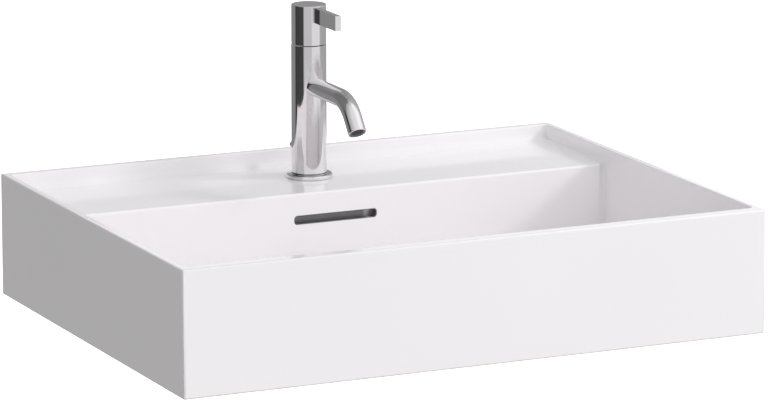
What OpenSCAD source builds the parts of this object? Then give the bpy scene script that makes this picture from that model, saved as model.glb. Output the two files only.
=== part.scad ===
// Rectangular washbasin with a tap ledge, a lever mixer tap and a pop-up waste
// X is to the right, +Y into the wall and +Z up, in millimetres
// The origin is on the wall plane, midway between the two wall bolts

/* [Basin] */
// Width of the basin
basin_w = 600; // [560:5:800]
// Depth from the wall to the front face
basin_d = 460; // [440:5:520]
// Height of the outer walls
basin_h = 121; // [114:1:150]
// Radius of the outer upright corners
corner_r = 3; // [1:0.5:6]
// Radius of the outer top and bottom edges
edge_r = 2; // [1:0.5:4]
// Thickness of the side walls at the rim
rim_side = 7.5; // [6:0.5:16]
// Thickness of the front wall at the rim
rim_front = 13; // [8:0.5:20]
// Thickness of the back wall at the rim
rim_back = 10.5; // [8:0.5:16]
// Radius of the rim's inner top edge
rim_edge_r = 1.5; // [0.5:0.25:3]

/* [Tap ledge] */
// Distance from the wall to the ledge's front edge
ledge_d = 140; // [130:1:170]
// Drop from the rim to the ledge
ledge_drop = 16.5; // [10:0.5:24]
// Thickness of the ceramic under the ledge
ledge_t = 14; // [10:0.5:18]
// Radius of the hollow corner along the back of the ledge
ledge_cove_r = 9; // [4:0.5:10]
// Radius of the hollow corner at the ends of the ledge
ledge_end_r = 5; // [3:0.5:8]
// Radius of the ledge's front edge
ledge_edge_r = 2.5; // [1:0.5:4]

/* [Bowl] */
// Depth from the rim to the bowl's floor at the drain
bowl_depth = 100; // [90:1:102]
// Rise of the bowl's floor from the drain to the walls
floor_rise = 4; // [2:0.5:6]
// Radius of the bowl's upright corners
bowl_corner_r = 6; // [4:0.5:14]
// Radius between the bowl's floor and its front and back walls
floor_cove_r = 16; // [14:1:24]
// Radius between the bowl's floor and its side walls
side_cove_r = 12; // [6:1:12]
// Thickness of the bowl's back wall
bowl_wall = 10; // [8:0.5:12]

/* [Underside] */
// Thickness of the walls around the open underside
skirt_t = 12; // [9:0.5:16]
// Depth of the recess under the bowl
recess_h = 10; // [5:0.5:11]
// Outer diameter of the boss around the drain
boss_d = 84; // [76:1:100]

/* [Wall fixing] */
// Distance between the two wall bolts
bolt_spacing = 280; // [200:10:320]
// Height of the wall bolts above the underside
bolt_up = 56; // [45:1:65]
// Diameter of the wall bolt holes
bolt_hole_d = 14; // [11:0.5:18]

/* [Overflow] */
// Width of the overflow slot
slot_w = 89; // [60:1:100]
// How far the overflow slot stands left of the middle
slot_left = 3; // [0:0.5:6]
// Height of the overflow slot
slot_h = 9.2; // [7:0.2:10]
// Drop from the rim to the middle of the slot
slot_drop = 43; // [36:1:50]
// Radius of the slot's corners
slot_r = 3.4; // [2:0.2:3.4]
// Depth of the duct behind the bowl's back wall
duct_d = 12; // [8:1:14]
// Thickness of the walls round the duct
duct_wall = 8; // [6:0.5:10]
// Width of the duct under the bowl's floor
channel_w = 40; // [24:2:50]
// Height of the duct under the bowl's floor
channel_h = 7.5; // [5:0.5:8]
// Thickness of the floor under the duct
channel_floor = 4; // [3:0.5:5]
// Thickness of the overflow liner's sheet
liner_t = 0.8; // [0.6:0.1:1.2]
// How far the liner stands back from the bowl's wall
liner_back = 1; // [0.5:0.25:2]
// Depth of the overflow liner
liner_d = 8; // [5:0.5:8.5]
// Height of the water gap at the top of the liner's back
liner_gap = 1.8; // [1:0.1:2.4]

/* [Tap column] */
// Distance from the wall to the tap's axis
tap_from_wall = 70; // [60:1:75]
// Diameter of the tap hole
tap_hole_d = 35; // [33:0.5:36]
// Diameter of the tap's column
column_d = 35; // [34.5:0.5:40]
// Height of the tap above the ledge
tap_h = 173.5; // [165:0.5:200]
// Diameter of the foot flange
flange_d = 46.5; // [44:0.5:56]
// Height of the foot flange
flange_h = 4; // [3.5:0.25:6]
// Depth of the seat that the column stands in
flange_seat = 2; // [1:0.25:2.2]
// Gap round the column in the flange
flange_gap = 0.4; // [0.2:0.1:0.8]
// Thickness of the foot seal
foot_seal_t = 1.3; // [1:0.1:1.4]
// How far the foot seal stands proud of the flange
foot_seal_proud = 0.3; // [0.1:0.1:0.5]
// Height of the groove between the flange and the column's lower edge
foot_groove_h = 1.6; // [1:0.1:2.4]
// Depth of the groove under the column's lower edge
foot_groove_t = 0.8; // [0.4:0.1:1]
// Diameter of the spigot inside the tap hole
spigot_d = 30; // [29:0.5:31]
// Length of the spigot below the ledge
spigot_h = 4; // [2:0.5:8]
// Radius of the inlet threads at their crests
inlet_r = 4.5; // [4.3:0.1:4.6]
// Depth of the threaded inlets
inlet_h = 14; // [10:1:18]
// Radius of the water ways in the column
way_r = 2.4; // [2:0.1:2.6]
// Sideways distance of the inlets from the column's axis
inlet_x = 7; // [6.8:0.1:7.4]
// Forward distance of the inlets from the column's axis
inlet_y = 5; // [4.9:0.1:5.4]
// Forward distance of the inlet ways from the column's axis
way_y = 2; // [1.6:0.1:2.4]
// Forward distance of the outlet way from the column's axis
outlet_y = 8.6; // [8:0.1:8.8]

/* [Spout] */
// Diameter of the spout tube
spout_d = 18.2; // [16:0.2:19]
// Wall thickness of the spout tube
spout_wall = 1; // [0.8:0.1:2]
// Drop from the column's top to the spout's axis
spout_drop = 40.5; // [39.5:0.5:60]
// Distance from the tap's axis to the outlet
spout_reach = 114.5; // [95:0.5:140]
// Bend radius of the spout's centre line
spout_bend_r = 38; // [24:1:40]
// Slope of the spout's end below the horizontal
spout_angle = 52; // [40:1:75]
// Straight length after the bend
spout_end = 17.5; // [14:0.5:30]
// Depth that the spout goes into the column
spout_seat = 4.6; // [4:0.2:5]

/* [Aerator] */
// Length of the aerator housing
aerator_l = 8; // [6:0.5:12]
// Wall thickness of the aerator housing
aerator_wall = 1.1; // [0.8:0.1:1.4]
// Depth of the aerator inside the spout's end
aerator_back = 0.8; // [0.4:0.2:2]
// Radius of the aerator's water holes
aerator_hole_r = 0.7; // [0.5:0.05:0.8]

/* [Handle] */
// Diameter of the handle cap
cap_d = 34.6; // [34:0.2:38]
// Height of the handle cap
cap_h = 39.2; // [37:0.2:46]
// Gap between the column and the handle cap
cap_gap = 0.8; // [0.6:0.1:1.5]
// Wall thickness of the handle cap
cap_wall = 2.7; // [2:0.1:3.2]
// Thickness of the handle cap's top
cap_top = 3.2; // [2.5:0.1:5]
// Bevel on the cap's top edge
cap_bevel = 0.5; // [0.2:0.1:1]
// Diameter of the boss inside the cap
cap_boss_d = 15; // [13:0.5:16]
// Thickness of the lever blade
blade_t = 6.4; // [4:0.1:6.4]
// Height of the lever blade
blade_h = 15; // [10:0.5:16]
// Distance from the tap's axis to the blade's tip
blade_reach = 70; // [50:1:90]
// Drop from the cap's top to the blade's top
blade_drop = 0.7; // [0.5:0.1:2]
// Angle that the handle lifts from closed to full flow
lift_deg = 20; // [12:1:21]

/* [Cartridge] */
// Diameter of the cartridge
cartridge_d = 25; // [24.6:0.1:25.4]
// Height of the cartridge base
base_h = 10; // [8:0.5:10]
// Height of each ceramic disc
disc_h = 4; // [3.5:0.1:4.5]
// Width of the moving disc
moving_w = 8; // [7:0.2:8.6]
// Height of the lever pin above the column's top
pin_up = 6.8; // [6.4:0.1:7.4]
// Radius of the lever pin
pin_r = 1.5; // [1.2:0.1:1.8]
// Diameter of the carrier's neck
neck_d = 13; // [12.6:0.1:13.4]
// Diameter of the spindle that holds the handle
spindle_d = 8; // [7.5:0.1:8.5]
// Height of the retaining nut
ring_nut_h = 6; // [5:0.5:6.5]
// Length of the lever arm below its pin
arm_l = 18.3; // [17.8:0.1:18.6]
// Radius of the lever arm
arm_r = 2; // [1.6:0.1:2.1]
// Diameter of the handle's grub screw
grub_d = 5; // [4:0.5:6]
// Length of the handle's grub screw
grub_l = 8; // [6:0.5:9]

/* [Tap fixing] */
// Diameter of the mounting stud
stud_d = 6; // [5:0.5:6]
// Backward distance of the stud from the column's axis
stud_back = 4.5; // [4:0.1:5]
// Outer diameter of the clamp washer and its pad
clamp_d = 48; // [44:1:56]
// Thickness of the clamp pad
pad_t = 3; // [2:0.5:4]
// Thickness of the clamp washer
washer_t = 2.5; // [2:0.5:4]
// Width across the flats of the fixing nut
nut_w = 10; // [9.5:0.5:11]
// Height of the fixing nut
nut_h = 8; // [6:1:14]
// Length of the stud below the fixing nut
stud_tail = 14; // [6:1:24]

/* [Waste control] */
// Height of the knob above the ledge when it is down
knob_up = 25; // [18:1:40]
// Diameter of the knob
knob_d = 7.4; // [6:0.2:9]
// Distance from the tap's axis to the knob's end
knob_reach = 40; // [32:0.5:42]
// Diameter of the lift rod
rod_d = 4; // [3:0.2:4.2]
// Backward distance of the lift rod from the column's axis
rod_back = 14; // [13.6:0.1:14.2]
// Upward travel of the lift rod
rod_travel = 32; // [20:1:36]
// Clearance round the lift rod
rod_gap = 0.3; // [0.2:0.05:0.4]
// Width of the clevis
clevis_w = 12; // [11:0.5:16]
// Thickness of the clevis
clevis_t = 8; // [6:0.5:10]

/* [Waste] */
// Distance from the wall to the drain's axis
drain_from_wall = 235; // [225:1:270]
// Diameter of the drain hole
drain_hole_d = 46; // [44:0.5:48]
// Diameter of the waste's top flange
waste_flange_d = 63; // [60:0.5:66]
// Thickness of the waste's top flange
waste_flange_t = 2.5; // [2:0.1:3]
// Depth of the seat for the waste flange
waste_seat = 4; // [3:0.5:4.5]
// Outer diameter of the upper waste tube
waste_tube_d = 39; // [38:0.2:40]
// Bore of the upper waste tube
waste_bore_d = 33; // [32:0.2:33.6]
// Length of the upper waste tube below the basin
tube_below = 22; // [20:0.5:23]
// Thickness of the top seal
top_seal_t = 1.5; // [1:0.1:2]
// Thickness of the bottom seal
bottom_seal_t = 4; // [3:0.5:5]
// Thickness of the slip washer
slip_washer_t = 2; // [1:0.5:2.5]
// Height of the waste's back nut
back_nut_h = 7; // [5:0.5:8]
// Outer diameter of the seal, washer and nut under the basin
under_d = 64; // [58:1:70]
// Outer diameter of the lower waste body
tee_d = 46; // [44:0.5:50]
// Depth of the ball's centre below the underside
ball_down = 30; // [29:0.5:32]
// Distance from the drain's axis to the ball
ball_out = 32; // [31:0.5:36]
// Diameter of the ball
ball_d = 12; // [11:0.5:13]
// Diameter of the ball rod
ball_rod_d = 5; // [4:0.2:5.4]
// Outer diameter of the waste tail
tail_d = 32; // [30:0.5:34]
// Wall thickness of the waste tail
tail_wall = 2.5; // [2:0.1:3]
// Depth of the tail's end below the underside
tail_down = 57; // [54:1:70]

/* [Plug] */
// Diameter of the plug's cap
plug_d = 48; // [44:1:52]
// Thickness of the plug's cap
plug_t = 3; // [2.5:0.1:4]
// Gap between the shut plug and the flange
plug_shut_gap = 0.4; // [0.3:0.1:0.6]
// Diameter of the plug's stem
plug_stem_d = 5; // [4:0.2:6]

/* [Fits] */
// Gap between a piece and the bore that it seats in
seat_gap = 0.05; // [0.02:0.01:0.08]
// Gap between a turning pin and its bore
run_gap = 0.05; // [0.03:0.01:0.08]
// Gap between pieces that move past each other
free_gap = 0.3; // [0.2:0.05:0.4]

/* [Hidden] */
$fn = 96;
// Overrun of a cutting solid past the face that it opens
cut = 1;

// Levels and places of the basin, from the wall bolts
bottom_z = -bolt_up;
top_z = basin_h - bolt_up;
deck_z = top_z - ledge_drop;
floor_z = top_z - bowl_depth;
in_x = basin_w / 2 - rim_side;
in_front = rim_front - basin_d;
tap_y = -tap_from_wall;
drain_y = -drain_from_wall;
hollow_front = bowl_wall - ledge_d;
hollow_top = deck_z - ledge_t;
slot_z = top_z - slot_drop;
duct_back = hollow_front + duct_d;
slot_low_x = -slot_w / 2 - slot_left;
slot_high_x = slot_w / 2 - slot_left;

// Levels of the tap, from the ledge
column_top = tap_h - cap_h - cap_gap;
cap_bottom = column_top + cap_gap;
pin_z = column_top + pin_up;
spout_up = column_top - spout_drop;
foot_z = flange_h - flange_seat;
flange_rod_room = 0.5;
flange_in_r = rod_back + rod_d / 2 + flange_rod_room;
foot_seal_wall = 1.8;
foot_seal_out = flange_d / 2 - foot_seal_wall;
foot_seal_room = 0.6;
foot_seal_in = column_d / 2 + foot_seal_room;

// Levels inside the handle's cap
cap_high = cap_bottom + cap_h;
boss_up = 7;
boss_low = pin_z + boss_up;
grub_up = 13;
grub_z = pin_z + grub_up;
socket_down = 8;
socket_high = cap_high - cap_top - socket_down;
spindle_end_gap = 1;

// Walls and rooms inside the cartridge
shell_t = 1.5;
shell_roof_t = 2;
shell_down = 0.5;
cavity_h = 10.5;
carrier_over = 1;
carrier_up = 3.2;
nut_step = 2;
neck_wall = 2.5;
arm_room = 0.6;
stem_room = 0.2;
port_seat = 0.8;
port_seal_t = 1;

// Levels of the cartridge, from the top of the column
nut_low = -ring_nut_h;
cavity_top = nut_low - shell_roof_t;
discs_low = cavity_top - cavity_h;
fixed_top = discs_low + disc_h;
moving_low = fixed_top + seat_gap;
moving_top = moving_low + disc_h;
carrier_low = fixed_top + carrier_over;
carrier_roof = moving_top + free_gap;
carrier_high = pin_up + carrier_up;
cartridge_low = discs_low - base_h;
cartridge_r = cartridge_d / 2;
cavity_r = cartridge_r - shell_t;
nut_r = cartridge_r + nut_step;
shell_neck_r = neck_d / 2 + neck_wall;
port_r = way_r - 0.4;
slot_half = arm_r + arm_room;
stem_half = slot_half - stem_room;
swing = lift_deg / 2;
arm_y = arm_l * sin(swing);

// Depth of the short line at the drain where the bowl's four slopes meet
valley = 0.25;

// Start of the relief that lets the back of the cap drop
relief_y = (pin_up - cap_gap) * tan(lift_deg / 2) + (cap_gap - free_gap) / sin(lift_deg);

// Radius of the knob's end where it goes through the lift rod
knob_tip_r = rod_d / 2 - 0.4;

// The spout's route in the upright plane through the tap's axis
spout_r = spout_d / 2;
spout_straight = spout_reach - spout_bend_r * sin(spout_angle) - spout_end * cos(spout_angle);
spout_root = column_d / 2 - spout_seat;
aerator_r = spout_r - spout_wall - seat_gap;

// Levels of the waste, from the underside
seat_up = floor_z - waste_seat - bottom_z;
flange_low = seat_up + top_seal_t;
flange_up = flange_low + waste_flange_t;
nut_up = -bottom_seal_t - slip_washer_t;
tee_up = nut_up - back_nut_h - free_gap;
waste_r = waste_bore_d / 2;
throat_flare = 4;
throat_r = waste_r + throat_flare;
throat_h = 6;
window_w = 14;
window_down = 1.5;

// The waste linkage
ball_to_clevis = drain_from_wall - ball_out - tap_from_wall + rod_back;
ball_swing = atan(rod_travel / 2 / ball_to_clevis);
plug_travel = rod_travel * ball_out / ball_to_clevis;
clevis_z = bottom_z - ball_down - rod_travel / 2;
eye_z = plug_travel / 2 - ball_down;
plug_low = flange_up + plug_shut_gap + plug_travel;
ball_r = ball_d / 2;
ball_rod_r = ball_rod_d / 2;
ball_rod_room = 2.1;
ball_hole_r = ball_rod_r + ball_rod_room;
ball_boss_wall = 4;
ball_boss_r = ball_r + ball_boss_wall;
ball_seat_h = 2;
ball_edge = sqrt(pow(ball_r + free_gap, 2) - pow(ball_hole_r, 2));
clevis_room = 0.4;
clevis_hole_r = ball_rod_r / cos(ball_swing) + clevis_t / 2 * tan(ball_swing) + clevis_room;
plug_seal_lap = 2;
plug_seal_r = waste_r + plug_seal_lap;
plug_seal_w = 3;
plug_seal_t = 3;

// Levels of the clevis, from the ball rod
clevis_low = -8;
clevis_seat = 8;
clevis_high = 20;
clevis_screw_up = 14;
clevis_screw_r = 2;

// Shapes used by several pieces
module ring(outer, inner, low, high) {
    translate([0, 0, low])
        difference() {
            cylinder(r = outer, h = high - low);
            translate([0, 0, -cut]) cylinder(r = inner, h = high - low + 2 * cut);
        }
}

module bar(r, low, high) {
    translate([0, 0, low]) cylinder(r = r, h = high - low);
}

module block(low, high) {
    translate(low) cube(high - low);
}

module round_rect(low, high, r) {
    translate([low[0] + r, low[1]]) square([high[0] - low[0] - 2 * r, high[1] - low[1]]);
    translate([low[0], low[1] + r]) square([high[0] - low[0], high[1] - low[1] - 2 * r]);
    for (x = [low[0] + r, high[0] - r], y = [low[1] + r, high[1] - r])
        translate([x, y]) circle(r = r);
}

// A profile drawn in X and Z, carried along Y from front to back
module along_y(front, back) {
    translate([0, back, 0]) rotate([90, 0, 0]) linear_extrude(back - front) children();
}

// A profile drawn in Y and Z, carried along X and centred
module along_x(length) {
    rotate([90, 0, 90]) linear_extrude(length, center = true) children();
}

module at_tap() {
    translate([0, tap_y, deck_z]) children();
}

module at_cartridge() {
    translate([0, tap_y, deck_z + column_top]) children();
}

module at_drain() {
    translate([0, drain_y, bottom_z]) children();
}

// The frame of the ball, with its rod's outer end along +Y
module at_ball() {
    at_drain() translate([0, ball_out, -ball_down]) children();
}

// A cylinder along Y between two distances from the axis
module along_back(r, near, far) {
    translate([0, near, 0]) rotate([-90, 0, 0]) cylinder(r = r, h = far - near);
}

// Basin
module outer_block() {
    intersection() {
        translate([0, 0, bottom_z])
            linear_extrude(basin_h)
                round_rect([-basin_w / 2, -basin_d], [basin_w / 2, 0], corner_r);
        along_y(-basin_d, 0)
            round_rect([-basin_w / 2, bottom_z], [basin_w / 2, top_z], edge_r);
        along_x(basin_w)
            round_rect([-basin_d, bottom_z], [0, top_z], edge_r);
    }
}

module ledge_pocket() {
    front = -ledge_d - bowl_corner_r;
    open_top = top_z + ledge_cove_r + cut;
    intersection() {
        translate([0, 0, deck_z])
            linear_extrude(open_top - deck_z)
                round_rect([-in_x, front - ledge_end_r], [in_x, -rim_back], ledge_end_r);
        along_y(front, 0)
            round_rect([-in_x, deck_z], [in_x, open_top], ledge_end_r);
        along_x(basin_w)
            round_rect([front - ledge_cove_r, deck_z], [-rim_back, open_top], ledge_cove_r);
    }
}

// The bowl's section: level walls at low and high, and a floor that falls to the drain
module bowl_section(low, high, drain, drain_z, r) {
    slope_low = atan(floor_rise / (drain - low));
    slope_high = atan(floor_rise / (high - drain));
    cove_low = drain_z + (drain - low - r) * tan(slope_low) + r / cos(slope_low);
    cove_high = drain_z + (high - drain - r) * tan(slope_high) + r / cos(slope_high);
    polygon([
        [low, top_z + cut],
        [low, cove_low],
        [low + r - r * sin(slope_low), cove_low - r * cos(slope_low)],
        [drain, drain_z],
        [high - r + r * sin(slope_high), cove_high - r * cos(slope_high)],
        [high, cove_high],
        [high, top_z + cut]
    ]);
    translate([low + r, cove_low]) circle(r = r);
    translate([high - r, cove_high]) circle(r = r);
}

module bowl_pocket() {
    intersection() {
        translate([0, 0, bottom_z])
            linear_extrude(basin_h + cut)
                round_rect([-in_x, in_front], [in_x, -ledge_d], bowl_corner_r);
        along_y(-basin_d, 0) bowl_section(-in_x, in_x, 0, floor_z - valley, side_cove_r);
        along_x(basin_w) bowl_section(in_front, -ledge_d, drain_y, floor_z, floor_cove_r);
    }
}

// The section cut away to round an edge whose solid lies below it and to its right
module edge_section(r) {
    difference() {
        translate([-cut, -r]) square([r + cut, r + cut]);
        translate([r, -r]) circle(r = r);
    }
}

// A cutter along X that rounds an edge whose solid lies below it and behind it
module edge_cutter(r, length) {
    along_x(length) edge_section(r);
}

// Rounds the rim's inner edge, side by side and corner by corner
module rim_cutter() {
    front_y = in_front + bowl_corner_r;
    back_y = -rim_back - ledge_end_r;
    translate([0, -rim_back, top_z]) edge_cutter(rim_edge_r, 2 * in_x - 2 * ledge_end_r);
    translate([0, in_front, top_z]) rotate(180) edge_cutter(rim_edge_r, 2 * in_x - 2 * bowl_corner_r);
    for (side = [0, 1])
        mirror([side, 0, 0]) {
            translate([in_x, (front_y + back_y) / 2, top_z])
                rotate(-90) edge_cutter(rim_edge_r, back_y - front_y);
            translate([in_x - ledge_end_r, back_y, top_z])
                rotate_extrude(angle = 90) translate([ledge_end_r, 0]) edge_section(rim_edge_r);
            translate([in_x - bowl_corner_r, front_y, top_z])
                rotate(-90)
                    rotate_extrude(angle = 90) translate([bowl_corner_r, 0]) edge_section(rim_edge_r);
        }
}

module rear_hollow() {
    block(
        [skirt_t - basin_w / 2, hollow_front, bottom_z - cut],
        [basin_w / 2 - skirt_t, -skirt_t, hollow_top]
    );
}

module under_recess() {
    block(
        [skirt_t - basin_w / 2, skirt_t - basin_d, bottom_z - cut],
        [basin_w / 2 - skirt_t, hollow_front + cut, bottom_z + recess_h]
    );
}

module duct_casing() {
    block(
        [slot_low_x - duct_wall, hollow_front - cut, bottom_z],
        [slot_high_x + duct_wall, duct_back + duct_wall, hollow_top + cut]
    );
    block(
        [-channel_w / 2 - duct_wall, drain_y, bottom_z],
        [channel_w / 2 + duct_wall, hollow_front, bottom_z + recess_h + cut]
    );
    at_drain() cylinder(d = boss_d, h = recess_h + cut);
}

module duct() {
    low = bottom_z + channel_floor;
    block([slot_low_x, hollow_front, low], [slot_high_x, duct_back, slot_z + slot_h]);
    block([-channel_w / 2, drain_y, low], [channel_w / 2, hollow_front + cut, low + channel_h]);
}

module slot_outline(shrink) {
    round_rect(
        [slot_low_x + shrink, slot_z - slot_h / 2 + shrink],
        [slot_high_x - shrink, slot_z + slot_h / 2 - shrink],
        slot_r - shrink / 2
    );
}

module basin_body() {
    seat_room = 1;
    color("white")
        difference() {
            union() {
                difference() {
                    outer_block();
                    ledge_pocket();
                    bowl_pocket();
                    rear_hollow();
                    under_recess();
                }
                duct_casing();
            }
            duct();
            along_y(-ledge_d - cut, hollow_front + cut) slot_outline(0);
            at_tap() translate([0, 0, -ledge_t - cut]) cylinder(d = tap_hole_d, h = ledge_t + 2 * cut);
            at_drain() translate([0, 0, -cut]) cylinder(d = drain_hole_d, h = seat_up + 2 * cut);
            at_drain() bar(waste_flange_d / 2 + seat_room, seat_up, seat_up + 3 * waste_seat);
            for (x = [-1, 1] * bolt_spacing / 2)
                translate([x, -skirt_t - cut, 0]) along_back(bolt_hole_d / 2, 0, skirt_t + 2 * cut);
            translate([0, -ledge_d, deck_z]) edge_cutter(ledge_edge_r, 2 * in_x - 2 * ledge_end_r);
            rim_cutter();
        }
}

module overflow_liner() {
    front = -ledge_d + liner_back;
    back = front + liner_d;
    gap_high = slot_z + slot_h / 2 - liner_t;
    color("silver")
        difference() {
            along_y(front, back) slot_outline(seat_gap);
            along_y(front - cut, back - liner_t) slot_outline(liner_t);
            block(
                [slot_low_x + slot_r + liner_t, back - liner_t - cut, gap_high - liner_gap],
                [slot_high_x - slot_r - liner_t, back + cut, gap_high]
            );
        }
}

// Tap column and foot
module tap_body() {
    bore_r = rod_d / 2 + rod_gap;
    bore_over = 3;
    slot_half_w = bore_r - 0.1;
    cup_end = way_r + 0.4 - outlet_y;
    slot_low = knob_up - bore_r;
    slot_high = knob_up + rod_travel + bore_r;
    color("silver")
        at_tap()
            difference() {
                union() {
                    bar(column_d / 2, foot_z, column_top);
                    bar(spigot_d / 2, -spigot_h, foot_z + cut);
                }
                bar(cartridge_r + seat_gap, column_top + cartridge_low, column_top + cut);
                bar(nut_r + seat_gap, column_top + nut_low, column_top + cut);
                for (x = [-inlet_x, inlet_x]) {
                    translate([x, -inlet_y, 0]) bar(inlet_r, -spigot_h - cut, inlet_h - spigot_h);
                    translate([x, -way_y, 0]) bar(way_r, 0, column_top + cartridge_low + cut);
                }
                translate([0, stud_back, 0]) bar(stud_d / 2, -spigot_h - cut, inlet_h - spigot_h);
                translate([0, 0, spout_up]) {
                    along_back(spout_r + seat_gap, -column_d / 2 - cut, -spout_root);
                    along_back(spout_r - spout_wall, -spout_root - cut, cup_end);
                }
                translate([0, -outlet_y, spout_up])
                    cylinder(r = way_r, h = column_top + cartridge_low + cut - spout_up);
                translate([0, rod_back, 0]) bar(bore_r, -spigot_h - cut, slot_high + bore_over);
                block([-slot_half_w, rod_back, slot_low], [slot_half_w, column_d, slot_high]);
                block([-slot_half_w, rod_back, -spigot_h - cut], [slot_half_w, spigot_d, foot_z - free_gap]);
                ring(column_d / 2 + cut, column_d / 2 - foot_groove_t, flange_h, flange_h + foot_groove_h);
            }
}

module base_flange() {
    step = 0.6;
    color("silver")
        at_tap()
            difference() {
                union() {
                    bar(flange_d / 2, foot_seal_proud, flange_h - step);
                    bar(flange_d / 2 - step, flange_h - step - seat_gap, flange_h);
                }
                bar(flange_in_r, -cut, flange_h + cut);
                bar(column_d / 2 + flange_gap, foot_z, flange_h + cut);
                ring(foot_seal_out, foot_seal_in, -cut, foot_seal_t);
            }
}

module base_seal() {
    color("dimgray")
        at_tap() ring(foot_seal_out, foot_seal_in, 0, foot_seal_t);
}

// Spout and aerator
module spout_path(r, start, over) {
    translate([0, 0, spout_up]) {
        along_back(r, -spout_straight, -start);
        translate([0, -spout_straight, -spout_bend_r])
            rotate([0, -90, 180])
                rotate_extrude(angle = spout_angle)
                    translate([spout_bend_r, 0]) circle(r = r);
        at_bend_end() {
            cylinder(r = r, h = spout_end + over);
            translate([0, 0, -0.1]) cylinder(r = r + 0.03, h = 0.2);
        }
    }
}

module at_bend_end() {
    translate([
        0,
        -spout_straight - spout_bend_r * sin(spout_angle),
        spout_bend_r * cos(spout_angle) - spout_bend_r
    ])
        rotate([90 + spout_angle, 0, 0]) children();
}

module at_outlet() {
    at_tap() translate([0, 0, spout_up]) at_bend_end() translate([0, 0, spout_end]) children();
}

module spout_tube() {
    color("silver")
        at_tap()
            difference() {
                spout_path(spout_r, spout_root, 0);
                spout_path(spout_r - spout_wall, spout_root - cut, cut);
            }
}

module aerator_housing() {
    color("gainsboro")
        at_outlet() ring(aerator_r, aerator_r - aerator_wall, -aerator_l - aerator_back, -aerator_back);
}

module aerator_insert() {
    r = aerator_r - aerator_wall;
    high = -aerator_back - 0.6;
    low = 1 - aerator_back - aerator_l;
    hole_pitch = (r - 1) / 2.5;
    color("dimgray")
        at_outlet()
            difference() {
                bar(r, low, high);
                bar(aerator_hole_r, low - cut, high + cut);
                for (row = [1, 2], i = [0 : 6 * row - 1])
                    rotate(i * 60 / row)
                        translate([row * hole_pitch, 0, 0])
                            bar(aerator_hole_r, low - cut, high + cut);
            }
}

// Cartridge
module ports() {
    for (x = [-inlet_x, inlet_x])
        translate([x, -way_y, 0]) children();
    translate([0, -outlet_y, 0]) children();
}

module cartridge_base() {
    color("ivory")
        at_cartridge()
            difference() {
                bar(cartridge_r, cartridge_low, discs_low);
                ports() {
                    bar(port_r, cartridge_low - cut, discs_low + cut);
                    bar(way_r + port_seat, cartridge_low - cut, cartridge_low + port_seal_t);
                }
            }
}

module cartridge_seals() {
    color("black")
        at_cartridge() ports() ring(way_r + port_seat, port_r, cartridge_low, cartridge_low + port_seal_t);
}

module fixed_disc() {
    color("white")
        at_cartridge()
            difference() {
                bar(cavity_r - free_gap, discs_low, fixed_top);
                ports() bar(port_r - 0.2, discs_low - cut, fixed_top + cut);
            }
}

module moving_disc() {
    socket_wall = 1.05;
    socket_room = 0.4;
    socket = arm_r + free_gap + 0.05;
    half_y = socket + socket_wall;
    socket_low = pin_up - arm_l - arm_r - socket_room;
    color("white")
        at_cartridge()
            translate([0, arm_y, 0])
                difference() {
                    block([-moving_w / 2, -half_y, moving_low], [moving_w / 2, half_y, moving_top]);
                    block([-socket, -socket, socket_low], [socket, socket, moving_top + cut]);
                }
}

module cartridge_shell() {
    color("ivory")
        at_cartridge()
            difference() {
                union() {
                    bar(cartridge_r, discs_low, nut_low);
                    bar(shell_neck_r, nut_low - cut, -shell_down);
                }
                bar(cavity_r, discs_low - cut, cavity_top);
                bar(neck_d / 2 + run_gap, cavity_top - cut, cut);
            }
}

module cartridge_nut() {
    notch_t = 2;
    notch_w = 3;
    notch_h = 3;
    color("goldenrod")
        at_cartridge()
            difference() {
                ring(nut_r, shell_neck_r + seat_gap, nut_low, -shell_down);
                for (turn = [0 : 60 : 300])
                    rotate(turn)
                        block([nut_r - notch_t, -notch_w / 2, -notch_h], [nut_r + cut, notch_w / 2, cut]);
            }
}

module disc_carrier() {
    channel = moving_w / 2 + free_gap;
    slot_y = (pin_up - carrier_low) * sin(swing) + arm_r + 1;
    color("lightgray")
        at_cartridge()
            difference() {
                union() {
                    bar(cavity_r - free_gap, carrier_low, cavity_top - free_gap);
                    bar(neck_d / 2, carrier_low, carrier_high);
                }
                block([-channel, -cavity_r, carrier_low - cut], [channel, cavity_r, carrier_roof]);
                block([-slot_half, -slot_y, carrier_low - cut], [slot_half, slot_y, cavity_top]);
                block([-slot_half, -neck_d, cavity_top - seat_gap], [slot_half, neck_d, carrier_high + cut]);
                translate([0, 0, pin_up])
                    rotate([0, 90, 0]) cylinder(r = pin_r, h = neck_d + cut, center = true);
            }
}

module lever_pin() {
    color("silver")
        at_cartridge()
            translate([0, 0, pin_up]) rotate([0, 90, 0]) cylinder(r = pin_r, h = neck_d - 1, center = true);
}

module lever_stem() {
    spindle_top = socket_high - spindle_end_gap - column_top;
    knuckle_r = 3.5;
    knuckle_h = 7;
    color("goldenrod")
        at_cartridge()
            difference() {
                union() {
                    translate([0, 0, pin_up]) {
                        rotate([0, 90, 0]) cylinder(r = knuckle_r, h = 2 * stem_half, center = true);
                        block([-stem_half, -knuckle_r, 0], [stem_half, knuckle_r, knuckle_h]);
                        rotate([swing, 0, 0]) {
                            bar(arm_r, -arm_l, 0);
                            translate([0, 0, -arm_l]) sphere(r = arm_r);
                        }
                    }
                    bar(spindle_d / 2, pin_up + knuckle_h - cut, spindle_top);
                }
                translate([0, 0, pin_up])
                    rotate([0, 90, 0]) cylinder(r = pin_r + run_gap, h = neck_d, center = true);
            }
}

// Handle
module blade_block(extra) {
    top = cap_high - blade_drop;
    translate([0, -blade_reach, 0])
        block([-blade_t / 2, 0, top - blade_h], [blade_t / 2, blade_reach - cap_boss_d / 2 + extra, top]);
}

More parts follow.
